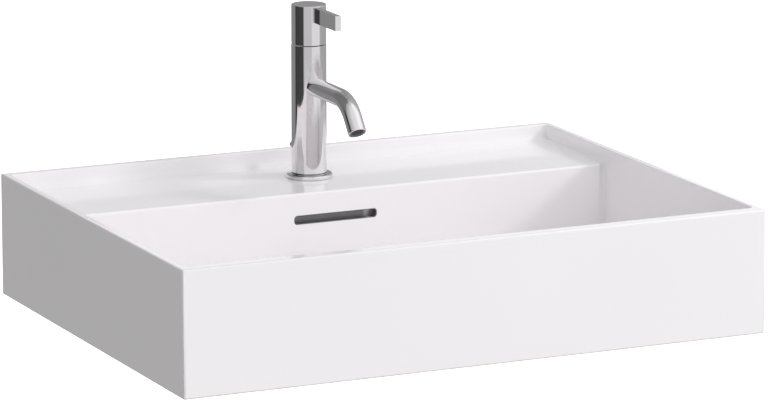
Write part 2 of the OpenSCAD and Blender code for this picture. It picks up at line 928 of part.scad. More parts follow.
module handle_cap() {
    cap_r = cap_d / 2;
    grub_room = 0.1;
    color("silver")
        at_tap()
            difference() {
                union() {
                    ring(cap_r, cap_r - cap_wall, cap_bottom, cap_high - cap_top);
                    bar(cap_r, cap_high - cap_top - seat_gap, cap_high - cap_bevel);
                    translate([0, 0, cap_high - cap_bevel])
                        cylinder(r1 = cap_r, r2 = cap_r - cap_bevel, h = cap_bevel);
                    bar(cap_boss_d / 2, boss_low, cap_high - cap_top);
                }
                bar(spindle_d / 2 + seat_gap, boss_low - cut, socket_high);
                blade_block(1);
                translate([0, 0, grub_z]) {
                    along_back(grub_d / 2, 0, cap_boss_d / 2 + cut);
                    along_back(grub_d / 2 + grub_room, cap_boss_d / 2 + cut, cap_r + cut);
                }
                translate([0, relief_y, cap_bottom])
                    rotate([lift_deg, 0, 0]) block([-cap_d, 0, -cap_d], [cap_d, cap_d, 0]);
            }
}

module lever_blade() {
    color("silver") at_tap() blade_block(1);
}

module handle_screw() {
    near = spindle_d / 2;
    key_r = 1.3;
    key_h = 3;
    color("gray")
        at_tap()
            translate([0, 0, grub_z])
                difference() {
                    along_back(grub_d / 2, near, near + grub_l);
                    translate([0, near + grub_l - key_h, 0])
                        rotate([-90, 0, 0]) cylinder(r = key_r, h = key_h + cut, $fn = 6);
                }
}

// Tap fixing under the ledge
module mounting_stud() {
    color("goldenrod")
        at_tap()
            translate([0, stud_back, 0])
                bar(stud_d / 2, -ledge_t - pad_t - washer_t - nut_h - stud_tail, inlet_h - spigot_h);
}

module clamp_outline() {
    mouth = inlet_x + inlet_r + 2;
    mouth_back = 0.3;
    stud_room = 0.4;
    rod_room = 1.6;
    difference() {
        circle(d = clamp_d);
        translate([-mouth, -clamp_d]) square([2 * mouth, clamp_d + mouth_back]);
        translate([0, stud_back]) circle(d = stud_d + stud_room);
        translate([0, rod_back]) circle(d = rod_d + rod_room);
    }
}

module clamp_pad() {
    color("black")
        at_tap() translate([0, 0, -ledge_t - pad_t]) linear_extrude(pad_t) clamp_outline();
}

module clamp_washer() {
    color("silver")
        at_tap() translate([0, 0, -ledge_t - pad_t - washer_t]) linear_extrude(washer_t) clamp_outline();
}

module fixing_nut() {
    high = -ledge_t - pad_t - washer_t;
    color("goldenrod")
        at_tap()
            translate([0, stud_back, high - nut_h])
                difference() {
                    cylinder(d = nut_w / cos(30), h = nut_h, $fn = 6);
                    translate([0, 0, -cut]) cylinder(d = stud_d, h = nut_h + 2 * cut);
                }
}

// Lift rod and its knob
module waste_knob() {
    neck = column_d / 2 + 4.5;
    step = 0.6;
    color("silver")
        at_tap()
            translate([0, 0, knob_up]) {
                along_back(knob_tip_r, rod_back, rod_back + rod_d / 2 + cut);
                along_back(rod_d / 2, rod_back + rod_d / 2, neck + cut);
                along_back(knob_d / 2, neck, knob_reach - step);
                along_back(knob_d / 2 - step, knob_reach - step - seat_gap, knob_reach);
            }
}

module lift_rod() {
    low = clevis_z + clevis_seat;
    high = deck_z + knob_up + rod_d / 2 + 1;
    color("silver")
        translate([0, tap_y + rod_back, 0])
            difference() {
                bar(rod_d / 2, low, high);
                translate([0, 0, deck_z + knob_up]) along_back(knob_tip_r, 0, rod_d);
            }
}

module rod_clevis() {
    color("gray")
        translate([0, tap_y + rod_back, clevis_z])
            difference() {
                block([-clevis_w / 2, -clevis_t / 2, clevis_low], [clevis_w / 2, clevis_t / 2, clevis_high]);
                along_back(clevis_hole_r, -clevis_t, clevis_t);
                bar(rod_d / 2, clevis_seat, clevis_high + cut);
                translate([0, 0, clevis_screw_up])
                    rotate([0, 90, 0]) cylinder(r = clevis_screw_r, h = clevis_w);
            }
}

module clevis_screw() {
    length = clevis_w / 2 - rod_d / 2 + 2;
    notch_h = 1;
    color("silver")
        translate([rod_d / 2, tap_y + rod_back, clevis_z + clevis_screw_up])
            rotate([0, 90, 0])
                difference() {
                    cylinder(r = clevis_screw_r, h = length);
                    translate([-0.5, -clevis_w / 4, length - notch_h])
                        cube([1, clevis_w / 2, notch_h + cut]);
                }
}

module ball_rod() {
    past_plug = 3;
    past_clevis = 9;
    inner = ball_out / cos(ball_swing) + past_plug;
    outer = ball_to_clevis / cos(ball_swing) + clevis_t / 2 + past_clevis;
    color("silver")
        at_ball()
            rotate([-ball_swing, 0, 0]) {
                along_back(ball_rod_r - 0.3, -inner, 0);
                along_back(ball_rod_r, 0, outer);
                sphere(r = ball_r);
            }
}

module ball_seat() {
    color("white")
        at_ball()
            rotate([-90, 0, 0])
                ring(ball_r + free_gap - seat_gap, ball_hole_r, -ball_edge - ball_seat_h, -ball_edge);
}

module ball_nut() {
    corner_wall = 2.5;
    skirt = 4;
    roof = 3;
    color("silver")
        at_ball()
            rotate([-90, 0, 0])
                difference() {
                    translate([0, 0, ball_edge - skirt])
                        cylinder(r = ball_boss_r / cos(30) + corner_wall, h = skirt + roof, $fn = 6);
                    bar(ball_hole_r, 0, ball_edge + roof + cut);
                    bar(ball_boss_r + seat_gap, 0, ball_edge);
                }
}

// Waste
module waste_flange() {
    throat_wall = 1.5;
    window_high = channel_floor + channel_h - window_down;
    color("silver")
        at_drain()
            difference() {
                union() {
                    bar(waste_flange_d / 2, flange_low, flange_up);
                    bar(waste_tube_d / 2, -tube_below, flange_up);
                    translate([0, 0, flange_low - throat_h])
                        cylinder(r1 = waste_tube_d / 2, r2 = throat_r + throat_wall, h = throat_h + seat_gap);
                }
                bar(waste_r, -tube_below - cut, flange_up + cut);
                translate([0, 0, flange_up - throat_h])
                    cylinder(r1 = waste_r, r2 = throat_r, h = throat_h);
                bar(throat_r, flange_up - seat_gap, flange_up + cut);
                for (turn = [0, 90])
                    rotate(turn)
                        block(
                            [-waste_tube_d, -window_w / 2, channel_floor],
                            [waste_tube_d, window_w / 2, window_high]
                        );
            }
}

module waste_top_seal() {
    edge_in = 1.5;
    hole_room = 0.5;
    color("black")
        at_drain() ring(waste_flange_d / 2 - edge_in, drain_hole_d / 2 + hole_room, seat_up, flange_low);
}

module waste_bottom_seal() {
    color("black")
        at_drain() ring(under_d / 2, waste_tube_d / 2 + seat_gap, -bottom_seal_t, 0);
}

module slip_washer() {
    color("white")
        at_drain() ring(under_d / 2, waste_tube_d / 2 + seat_gap, nut_up, -bottom_seal_t);
}

module back_nut() {
    washer_rim = 8;
    color("goldenrod")
        at_drain()
            difference() {
                translate([0, 0, nut_up - back_nut_h])
                    cylinder(d = (under_d - washer_rim) / cos(30), h = back_nut_h, $fn = 6);
                bar(waste_tube_d / 2 + seat_gap, nut_up - back_nut_h - cut, nut_up + cut);
            }
}

module waste_tee() {
    cone_h = 5;
    cone_up = -ball_down - ball_r - 1.5;
    cone_down = cone_up - cone_h;
    seat_low = ball_edge + ball_seat_h;
    tail_r = tail_d / 2;
    color("silver")
        at_drain()
            difference() {
                union() {
                    bar(tee_d / 2, cone_up, tee_up);
                    translate([0, 0, cone_down]) cylinder(r1 = tail_r, r2 = tee_d / 2, h = cone_h);
                    bar(tail_r, -tail_down, cone_down + seat_gap);
                    translate([0, 0, -ball_down]) along_back(ball_boss_r, 0, ball_out + ball_edge - seat_gap);
                }
                bar(waste_tube_d / 2 + seat_gap, -tube_below, tee_up + cut);
                bar(waste_r, cone_up, 0);
                translate([0, 0, cone_down])
                    cylinder(r1 = tail_r - tail_wall, r2 = waste_r, h = cone_h);
                bar(tail_r - tail_wall, -tail_down - cut, cone_down + seat_gap);
                translate([0, 0, -ball_down]) {
                    along_back(ball_hole_r, 0, ball_out);
                    along_back(ball_r + free_gap, ball_out - seat_low, ball_out + ball_edge + cut);
                }
            }
}

// Plug
module plug_body() {
    // The fins and the eye are given by half their width, thickness and height
    fin_r = waste_r - 0.4;
    fin_h = 26;
    fin_t = 0.8;
    eye_w = 5.5;
    eye_t = 1.5;
    eye_h = 6;
    holder_low = plug_low - plug_seal_t - 2;
    bore_room = 0.4;
    color("gainsboro")
        at_drain()
            difference() {
                union() {
                    bar(plug_seal_r - plug_seal_w, holder_low, plug_low);
                    bar(waste_r - 0.6, holder_low, plug_low - plug_seal_t);
                    bar(plug_stem_d / 2, eye_z + eye_h - cut, plug_low);
                    for (turn = [0, 90])
                        rotate(turn)
                            block([-fin_r, -fin_t, plug_low - fin_h], [fin_r, fin_t, holder_low + cut]);
                    block([-eye_w, -eye_t, eye_z - eye_h], [eye_w, eye_t, eye_z + eye_h]);
                }
                translate([0, 0, eye_z]) along_back(ball_rod_r + bore_room, -2 * eye_t, 2 * eye_t);
            }
}

module plug_seal() {
    color("black")
        at_drain() ring(plug_seal_r, plug_seal_r - plug_seal_w, plug_low - plug_seal_t, plug_low);
}

module plug_cap() {
    bevel = 1;
    shoulder = plug_low + plug_t - bevel;
    color("silver")
        at_drain() {
            bar(plug_d / 2, plug_low, shoulder);
            translate([0, 0, shoulder]) cylinder(r1 = plug_d / 2, r2 = plug_d / 2 - bevel, h = bevel);
        }
}

basin_body();
overflow_liner();
tap_body();
base_flange();
base_seal();
spout_tube();
aerator_housing();
aerator_insert();
cartridge_base();
cartridge_seals();
fixed_disc();
moving_disc();
cartridge_shell();
cartridge_nut();
disc_carrier();
lever_pin();
lever_stem();
handle_cap();
lever_blade();
handle_screw();
mounting_stud();
clamp_pad();
clamp_washer();
fixing_nut();
waste_knob();
lift_rod();
rod_clevis();
clevis_screw();
ball_rod();
ball_seat();
ball_nut();
waste_flange();
waste_top_seal();
waste_bottom_seal();
slip_washer();
back_nut();
waste_tee();
plug_body();
plug_seal();
plug_cap();
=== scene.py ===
"""Inset basin: the looks of a glazed washbasin with a lever mixer tap and a pop-up waste.

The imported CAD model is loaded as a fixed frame. The pieces that are seen close up are built again here
with their fine edges, and every piece gets a procedural finish. Lengths are in metres, X is to the right,
+Y goes into the wall and Z is up.
"""

import math

import bmesh
import bpy
from bpy.props import FloatProperty, FloatVectorProperty, IntProperty, PointerProperty
from mathutils import Matrix, Vector


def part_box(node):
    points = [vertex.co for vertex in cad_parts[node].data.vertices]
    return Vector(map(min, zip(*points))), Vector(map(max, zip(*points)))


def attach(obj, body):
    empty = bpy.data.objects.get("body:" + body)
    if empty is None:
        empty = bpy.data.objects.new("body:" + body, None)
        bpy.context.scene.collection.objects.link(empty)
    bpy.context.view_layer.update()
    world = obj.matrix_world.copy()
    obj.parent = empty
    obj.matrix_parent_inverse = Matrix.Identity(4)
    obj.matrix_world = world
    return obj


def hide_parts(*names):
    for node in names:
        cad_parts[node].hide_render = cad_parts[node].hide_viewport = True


bl_info = {
    "name": "Inset Basin",
    "version": (1, 0, 0),
    "blender": (4, 5, 0),
    "location": "3D View > Sidebar > Basin",
    "description": "Builds a glazed washbasin with a mixer tap and a pop-up waste",
    "category": "Add Mesh",
}

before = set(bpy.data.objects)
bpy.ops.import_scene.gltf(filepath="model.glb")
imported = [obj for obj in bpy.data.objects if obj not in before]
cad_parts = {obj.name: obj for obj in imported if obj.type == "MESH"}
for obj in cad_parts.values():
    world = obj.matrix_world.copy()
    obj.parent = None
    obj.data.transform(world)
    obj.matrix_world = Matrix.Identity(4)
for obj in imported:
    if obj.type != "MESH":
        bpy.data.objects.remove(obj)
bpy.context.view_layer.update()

MM = 0.001


def half_width(node):
    low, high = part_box(node)
    return (high.x - low.x) / 2


def middle(node):
    low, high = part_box(node)
    return (low + high) / 2


def heights(node, base=0.0):
    """The node's lowest and highest Z above a base."""
    return [corner.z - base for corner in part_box(node)]


# Places and sizes that the frame gives
BLADE_LOW, BLADE_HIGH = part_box("lever_blade")
SPOUT_LOW, SPOUT_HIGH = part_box("spout_tube")
KNOB_LOW, KNOB_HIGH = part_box("waste_knob")
BODY_LOW, BODY_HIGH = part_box("basin_body")

DECK = heights("base_seal")[0]
TAP_PLACE = Vector((0, middle("base_seal").y, DECK))
TAP_FRAME = Matrix.Translation(TAP_PLACE)
DRAIN_PLACE = Vector((0, middle("waste_flange").y, BODY_LOW.z))
BOWL_MIDDLE = Vector((0, middle("basin_body").y, 0.02))
SPOUT_RADIUS = half_width("spout_tube")
ROD_RADIUS = half_width("lift_rod")
ROD_BACK = middle("lift_rod").y - TAP_PLACE.y
ROD_TRAVEL = 32 * MM
HANDLE_LIFT = 20

# Gap between a piece and the bore that it seats in
FIT = 0.05 * MM

# The photo's light is very slightly mauve
LAMP_TINT = (1.0, 0.98, 1.0)


# Sizes and colours that a user would change


def length(name, description, size):
    return FloatProperty(name=name, description=description, default=size, min=0, unit="LENGTH")


def angle(name, description, degrees):
    return FloatProperty(
        name=name, description=description, default=math.radians(degrees), subtype="ANGLE", unit="ROTATION"
    )


def strength(name, description, amount, unit="NONE"):
    return FloatProperty(name=name, description=description, default=amount, min=0, unit=unit)


def colour(name, thing, tone):
    return FloatVectorProperty(
        name=name, description=f"Colour of the {thing}", default=tone, subtype="COLOR", min=0, max=1
    )


class BasinSizes(bpy.types.PropertyGroup):
    slot_edge: length("Slot edge", "Radius of the glazed edge round the overflow slot", 1.1 * MM)
    liner_lip: length("Liner lip", "Radius of the overflow liner's front edge", 0.25 * MM)


class TapSizes(bpy.types.PropertyGroup):
    column_radius: length("Column radius", "Radius of the tap's column", 17.5 * MM)
    column_edge: length("Column edge", "Radius of the column's edges and of the cap's lower edge", 0.15 * MM)
    groove_height: length("Groove height", "Height of the groove above the foot", 1.6 * MM)
    groove_depth: length("Groove depth", "Depth of the groove under the column's lower edge", 0.8 * MM)
    foot_dish: length("Foot dish", "How far the foot's top dips towards the column", 0.02 * MM)
    foot_edge: length("Foot edge", "Radius of the foot's outer shoulder", 1.3 * MM)
    cap_edge: length("Cap edge", "Radius of the handle cap's edges", 0.5 * MM)
    blade_edge: length("Blade edge", "Radius of the lever blade's edges", 0.25 * MM)
    spout_bend: length("Spout bend", "Bend radius of the spout's centre line", 38 * MM)
    spout_slope: angle("Spout slope", "Slope of the spout's end below the horizontal", 52)
    spout_end: length("Spout end", "Straight length after the bend", 17.5 * MM)
    spout_wall: length("Spout wall", "Wall thickness of the spout", 1.0 * MM)
    knob_edge: length("Knob edge", "Radius of the waste knob's edges", 0.6 * MM)
    knob_grooves: IntProperty(
        name="Knob grooves", description="Number of grip grooves round the waste knob", default=4, min=0
    )


class WasteSizes(bpy.types.PropertyGroup):
    flange_edge: length("Flange edge", "Radius of the waste flange's outer edge", 1.1 * MM)
    plug_crown: length("Plug crown", "Rise of the plug's cap at its middle", 1.0 * MM)
    plug_edge: length("Plug edge", "Radius of the plug cap's edge", 0.9 * MM)
    stud_pitch: length("Stud pitch", "Pitch of the mounting stud's thread", 1.0 * MM)


class Finishes(bpy.types.PropertyGroup):
    glaze: colour("Glaze", "glazed ceramic", (0.975, 0.954, 0.971))
    biscuit: colour("Bare ceramic", "ceramic where it has no glaze", (0.80, 0.775, 0.73))
    chrome: colour("Chrome", "chrome plate", (0.806, 0.790, 0.806))
    steel: colour("Steel", "satin stainless steel", (0.58, 0.58, 0.59))
    # The liner's colour is steel darkened, as painted shade inside the overflow slot
    liner: colour("Liner", "dark overflow liner", (0.25, 0.243, 0.25))
    brass: colour("Brass", "plain brass", (0.78, 0.60, 0.30))
    rubber: colour("Rubber", "seals", (0.03, 0.03, 0.032))
    white_plastic: colour("White plastic", "white plastic pieces", (0.84, 0.84, 0.80))
    grey_plastic: colour("Grey plastic", "grey plastic pieces", (0.20, 0.205, 0.21))
    disc_ceramic: colour("Disc ceramic", "tap's ceramic discs", (0.88, 0.86, 0.82))


class StageSizes(bpy.types.PropertyGroup):
    floor_drop: length("Floor drop", "Height of the basin's underside above the floor", 0.85)
    floor_reach: length("Floor reach", "Half the width of the floor", 38.0)
    camera_place: FloatVectorProperty(
        name="Camera place", description="Where the camera stands",
        default=(-2.0379, -4.6120, 1.1148), subtype="TRANSLATION", unit="LENGTH",
    )
    camera_pitch: angle("Camera pitch", "How far the camera looks down", 12.3555)
    camera_yaw: angle("Camera yaw", "How far the camera is turned to the right", 25.018)
    camera_lens: strength("Camera lens", "Focal length on a sensor 36 mm wide", 240.80, "CAMERA")
    key_power: strength("Key power", "Power of the soft light at the right", 24.0, "POWER")
    key_size: length("Key size", "Width of the soft light at the right", 0.5)
    key_side: angle("Key side", "How far the soft light stands to the right of the basin's front", 67)
    key_rise: angle("Key rise", "How high the soft light stands above the bowl", 32)
    key_away: length("Key distance", "Distance from the bowl to the soft light", 3.0)
    near_board: strength("Near board", "Power of the white board that the rim mirrors", 0.22, "POWER")
    far_board: strength("Far board", "Power of the white board that the ledge mirrors", 0.68, "POWER")
    dome_strength: strength("Dome", "Strength of the soft light from all round", 1.13)
    mirror_strength: strength("Mirrored studio", "Strength of the studio that shows in the chrome", 1.15)


GROUPS = {
    "basin_sizes": BasinSizes,
    "basin_tap": TapSizes,
    "basin_waste": WasteSizes,
    "basin_finishes": Finishes,
    "basin_stage": StageSizes,
}


# Making meshes


def rounded(corners, steps=5, closed=True):
    """An outline from corners (across, up, radius), with an arc at each corner that has a radius."""
    outline = []
    last = len(corners) - 1
    for i, (across, up, radius) in enumerate(corners):
        here = Vector((across, up))
        if radius <= 0 or (not closed and i in (0, last)):
            outline.append(here)
            continue
        back = (Vector(corners[i - 1][:2]) - here).normalized()
        onward = (Vector(corners[(i + 1) % len(corners)][:2]) - here).normalized()
        half = back.angle(onward) / 2
        centre = here + (back + onward).normalized() * (radius / math.sin(half))
        first = here + back * (radius / math.tan(half)) - centre
        second = here + onward * (radius / math.tan(half)) - centre
        sweep = first.angle(second)
        for k in range(steps + 1):
            share = k / steps
            outline.append(
                centre
                + (first * math.sin((1 - share) * sweep) + second * math.sin(share * sweep)) / math.sin(sweep)
            )
    return outline


def join_rings(bm, rings, closed):
    """Faces between each ring of vertices and the next. A ring of one vertex is a pole."""
    onward = rings[1:] + rings[:1] if closed else rings[1:]
    for near, far in zip(rings, onward):
        count = max(len(near), len(far))
        if count == 1:
            continue
        for k in range(count):
            corners = [
                near[k % len(near)], near[(k + 1) % len(near)],
                far[(k + 1) % len(far)], far[k % len(far)],
            ]
            bm.faces.new(list(dict.fromkeys(corners)))


def store(bm, mesh):
    bm.to_mesh(mesh)
    bm.free()
    mesh.shade_smooth()


def add_piece(name, bm, place=None):
    """A new object from a bmesh, with its place in its mesh."""
    if place is not None:
        bm.transform(place)
    bmesh.ops.remove_doubles(bm, verts=bm.verts, dist=1e-7)
    bmesh.ops.recalc_face_normals(bm, faces=bm.faces)
    mesh = bpy.data.meshes.new(name)
    store(bm, mesh)
    piece = bpy.data.objects.new(name, mesh)
    bpy.context.scene.collection.objects.link(piece)
    return piece


def round_ring(bm, size, height, steps):
    """Vertices round the Z axis. Their distance from it is size, or what size says for each turn."""
    if size == 0:
        return [bm.verts.new((0, 0, height))]
    ring = []
    for k in range(steps):
        turn = 2 * math.pi * k / steps
        radius = size(turn) if callable(size) else size
        ring.append(bm.verts.new((radius * math.cos(turn), radius * math.sin(turn), height)))
    return ring


def lathe(name, corners, place=None, steps=192, arc=5, closed=True):
    """Turns an outline of corners (radius, height, edge radius) about the Z axis."""
    bm = bmesh.new()
    rings = [round_ring(bm, radius, height, steps) for radius, height in rounded(corners, arc, closed)]
    join_rings(bm, rings, closed)
    return add_piece(name, bm, place)


def box_tool(low, high, place=None):
    """A closed box between two corners."""
    bm = bmesh.new()
    outline = [(low[0], low[1]), (high[0], low[1]), (high[0], high[1]), (low[0], high[1])]
    rings = [[bm.verts.new((x, y, z)) for x, y in outline] for z in (low[2], high[2])]
    join_rings(bm, rings, False)
    for ring in rings:
        bm.faces.new(ring)
    return add_piece("tool", bm, place)


def round_tool(radius, low, high, place=None, steps=96):
    corners = [(0, low, 0), (radius, low, 0), (radius, high, 0), (0, high, 0)]
    return lathe("tool", corners, place, steps, closed=False)


def moved(x=0.0, y=0.0, z=0.0):
    return Matrix.Translation((x, y, z))


def turned(degrees, axis):
    return Matrix.Rotation(math.radians(degrees), 4, axis)


def carve(piece, *tools):
    """Cuts the tools' solids out of the piece."""
    for tool in tools:
        cutter = piece.modifiers.new("cut", "BOOLEAN")
        cutter.operation = "DIFFERENCE"
        cutter.solver = "EXACT"
        cutter.object = tool
    bpy.context.view_layer.update()
    graph = bpy.context.evaluated_depsgraph_get()
    uncut, piece.data = piece.data, bpy.data.meshes.new_from_object(piece.evaluated_get(graph))
    piece.modifiers.clear()
    bpy.data.meshes.remove(uncut)
    for tool in tools:
        bpy.data.objects.remove(tool)
    bm = bmesh.new()
    bm.from_mesh(piece.data)
    bmesh.ops.remove_doubles(bm, verts=bm.verts, dist=1e-6)
    bmesh.ops.dissolve_degenerate(bm, edges=bm.edges, dist=1e-6)
    store(bm, piece.data)


def unite(piece, other):
    """Takes the other piece's mesh into this one."""
    bm = bmesh.new()
    for each in (piece, other):
        bm.from_mesh(each.data)
    store(bm, piece.data)
    bpy.data.objects.remove(other)


def soften(piece, edge, angle=30, segments=2):
    """Rounds the sharp edges a little, and shades the flats flat and the curves smooth."""
    if edge:
        bevel = piece.modifiers.new("edge", "BEVEL")
        bevel.width = edge
        bevel.segments = segments
        bevel.limit_method = "ANGLE"
        bevel.angle_limit = math.radians(angle)
        bevel.miter_outer = "MITER_ARC"
    shade = piece.modifiers.new("shade", "WEIGHTED_NORMAL")
    shade.weight = 50
    shade.keep_sharp = True


def finish_piece(piece, body, slot, *nodes, finish=None, edge=0, angle=30, segments=2):
    """Sets a piece's edges and its finish, puts it on what it rides on, and hides the CAD nodes that it
    stands for.
    """
    if edge is not None:
        soften(piece, edge, angle, segments)
    piece.data.materials.clear()
    piece.data.materials.append(finish_named(finish or slot))
    if nodes:
        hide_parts(*nodes)
    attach(piece, body)


def dress(*rows):
    """Gives carried-over CAD nodes their finish and edge, from rows of (node, finish, edge radius in mm)."""
    for node, finish, edge in rows:
        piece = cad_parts[node]
        if not piece.material_slots:
            raise RuntimeError(f"{node} came with no material slot")
        for each in piece.material_slots:
            each.material = finish_named(finish)
        if edge:
            weld = piece.modifiers.new("weld", "WELD")
            weld.merge_threshold = 1e-6
            soften(piece, edge * MM)


# Finishes


class NodeNet:
    """The nodes of one material or world, with a short call for each kind."""

    def __init__(self, owner):
        owner.use_nodes = True
        self.nodes = owner.node_tree.nodes
        self.links = owner.node_tree.links

    def fill(self, socket, value):
        """Links another node's output to a socket, or sets it to a number or colour."""
        if isinstance(value, bpy.types.NodeSocket):
            self.links.new(value, socket)
        elif socket.type == "RGBA" and isinstance(value, (int, float)):
            socket.default_value = (value, value, value, 1)
        else:
            socket.default_value = value

    def add(self, kind, inputs=(), **settings):
        node = self.nodes.new("ShaderNode" + kind)
        for name, value in settings.items():
            setattr(node, name, value)
        for socket, value in dict(inputs).items():
            self.fill(node.inputs[socket], value)
        return node

    def maths(self, operation, first, second):
        return self.add("Math", {0: first, 1: second}, operation=operation).outputs["Value"]

    def spread(self, value, low, high, start=0.3, end=0.7, **settings):
        """A value from start to end turned into one from low to high."""
        inputs = {"Value": value, "From Min": start, "From Max": end, "To Min": low, "To Max": high}
        return self.add("MapRange", inputs, **settings).outputs["Result"]

    def mix(self, share, first, second):
        """A colour between two. Inputs 6 and 7 and output 2 are the node's colour sockets."""
        return self.add("Mix", {0: share, 6: first, 7: second}, data_type="RGBA").outputs[2]

    def split(self, vector):
        """The X, Y and Z of a vector."""
        return self.add("SeparateXYZ", {0: vector}).outputs


def shade_of(colour, factor):
    return tuple(min(1.0, c * factor) for c in colour) + (1,)


class Finish(NodeNet):
    """One procedural material: a Principled shader, fed by noise in the piece's own metres."""

    def __init__(self, name, colour, metallic=0.0, roughness=0.5, depth=1.0, **sockets):
        self.material = bpy.data.materials.new(name)
        super().__init__(self.material)
        self.shader = self.nodes["Principled BSDF"]
        self.colour = tuple(c * depth for c in getattr(bpy.context.scene.basin_finishes, colour))
        looks = {"Base Color": (*self.colour, 1), "Metallic": metallic, "Roughness": roughness, **sockets}
        for socket, value in looks.items():
            self.feed(socket, value)
        self.coordinates = self.add("TexCoord").outputs["Object"]
        self.material.diffuse_color = (*self.colour, 1)

    def feed(self, socket, value):
        self.fill(self.shader.inputs[socket], value)

    def stretch(self, x, y, z):
        """The piece's coordinates, drawn out along each axis."""
        return self.add("Mapping", {"Scale": (x, y, z), "Vector": self.coordinates}).outputs["Vector"]

    def noise(self, scale, detail=2.0, roughness=0.5, vector=None):
        vector = vector or self.coordinates
        inputs = {"Scale": scale, "Detail": detail, "Roughness": roughness, "Vector": vector}
        return self.add("TexNoise", inputs).outputs["Fac"]

    def tones(self, share, low, high, colour=None):
        """The finish's own colour or another, from low times its brightness to high times."""
        colour = colour or self.colour
        return self.mix(self.spread(share, 0, 1), shade_of(colour, low), shade_of(colour, high))

    def shades(self, *tones):
        self.feed("Base Color", self.tones(*tones))

    def gloss(self, value, low, high):
        self.feed("Roughness", self.spread(value, low, high))

    def bump(self, height, distance, strength):
        bump = self.add("Bump", {"Strength": strength, "Distance": distance, "Height": height})
        self.feed("Normal", bump.outputs["Normal"])


def glaze_finish():
    """White glaze with a faint ripple. The wall face and the foot have none, as they rest in the kiln."""
    finish = Finish("white_glaze", "glaze", 0.0, 0.09, IOR=1.5)
    tone = finish.tones(finish.noise(4, 3), 0.992, 1.008)
    parts = finish.split(finish.coordinates)
    ragged = finish.spread(finish.noise(90, 4), -0.5 * MM, 0.5 * MM)
    wall, foot = BODY_HIGH.y - 2.2 * MM, BODY_LOW.z + 0.8 * MM
    blur = 0.8 * MM
    behind = finish.spread(finish.maths("ADD", parts["Y"], ragged), 0, 1, wall, wall + blur)
    below = finish.spread(finish.maths("ADD", parts["Z"], ragged), 1, 0, foot, foot + blur)
    bare = finish.maths("MAXIMUM", behind, below)
    grit = finish.noise(1400, 3)
    biscuit = finish.tones(grit, 0.94, 1.05, tuple(bpy.context.scene.basin_finishes.biscuit))
    finish.feed("Base Color", finish.mix(bare, tone, biscuit))
    gloss = finish.spread(finish.noise(14, 4, 0.6), 0.075, 0.11)
    finish.feed("Roughness", finish.maths("ADD", gloss, finish.maths("MULTIPLY", bare, 0.55)))
    grain = finish.maths("MULTIPLY", finish.maths("MULTIPLY", finish.spread(grit, 0, 1), bare), 0.35)
    finish.bump(finish.maths("ADD", finish.noise(70, 2), grain), 0.05 * MM, 0.5)
    return finish.material


def chrome_finish(name, roughness, depth):
    """Chrome plate with the faint smears and long waves of a polished casting."""
    finish = Finish(name, "chrome", 1.0, roughness, depth)
    smears = finish.noise(55, 5, 0.65, finish.stretch(1, 1, 0.4))
    finish.gloss(smears, roughness * 0.7, roughness * 1.6)
    finish.shades(finish.noise(28, 3), 0.975, 1.01)
    finish.bump(finish.noise(120, 2), 0.02 * MM, 0.35)
    return finish.material


def steel_finish():
    """Satin stainless steel with short brushed strokes."""
    finish = Finish("satin_steel", "steel", 1.0, 0.34, Anisotropic=0.5)
    strokes = finish.noise(900, 3, 0.6, finish.stretch(0.02, 1, 1))
    finish.gloss(strokes, 0.26, 0.42)
    finish.shades(strokes, 0.9, 1.06)
    finish.bump(strokes, 0.01 * MM, 0.6)
    return finish.material


def liner_finish():
    """Brushed steel, darkened as painted shade inside the overflow slot, with a painted highlight: a bright
    band near its right end.
    """
    finish = Finish("liner_steel", "liner", 1.0, 0.36, Anisotropic=0.4)
    strokes = finish.noise(900, 3, 0.6, finish.stretch(0.02, 1, 1))
    finish.gloss(strokes, 0.30, 0.44)
    # Painted highlight: a bright band across the back plate near its right end, 1.9 times the liner's colour
    across = finish.split(finish.coordinates)["X"]
    near = finish.spread(across, 0, 1, 29.5 * MM, 31.5 * MM)
    past = finish.spread(across, 1, 0, 34.5 * MM, 37 * MM)
    painted_highlight = finish.maths("MULTIPLY", near, past)
    plain = finish.tones(strokes, 0.9, 1.08)
    finish.feed("Base Color", finish.mix(painted_highlight, plain, shade_of(finish.colour, 1.9)))
    finish.bump(strokes, 0.01 * MM, 0.6)
    return finish.material


def brass_finish():
    """Turned brass, with tool rings and a little tarnish."""
    finish = Finish("turned_brass", "brass", 1.0, 0.28)
    rings = finish.noise(2200, 2, 0.5, finish.stretch(0.02, 0.02, 1))
    finish.shades(finish.noise(160, 4, 0.6), 0.8, 1.05)
    finish.gloss(rings, 0.2, 0.38)
    finish.bump(rings, 0.012 * MM, 0.6)
    return finish.material


def rubber_finish():
    """Matt black rubber with a fine skin."""
    finish = Finish("seal_rubber", "rubber", 0.0, 0.72)
    skin = finish.noise(2600, 3, 0.6)
    finish.shades(finish.noise(120, 3), 0.8, 1.9)
    finish.gloss(skin, 0.62, 0.82)
    finish.bump(skin, 0.02 * MM, 0.7)
    return finish.material


def plastic_finish(name, colour, roughness):
    """Moulded plastic with a fine spark-etched grain."""
    finish = Finish(name, colour, 0.0, roughness)
    grain = finish.noise(3200, 2, 0.5)
    finish.shades(finish.noise(45, 3), 0.955, 1.03)
    finish.gloss(grain, roughness - 0.07, roughness + 0.08)
    finish.bump(grain, 0.012 * MM, 0.6)
    return finish.material


def disc_finish():
    """Lapped alumina: nearly a mirror, with a few pits."""
    finish = Finish("lapped_ceramic", "disc_ceramic", 0.0, 0.16)
    pits = finish.spread(finish.noise(1500, 4, 0.7), 0, 1, 0.3, 0.42)
    finish.feed("Base Color", finish.mix(pits, shade_of(finish.colour, 0.86), shade_of(finish.colour, 1.0)))
    finish.gloss(finish.noise(200, 3), 0.12, 0.22)
    finish.bump(pits, 0.006 * MM, 0.5)
    return finish.material


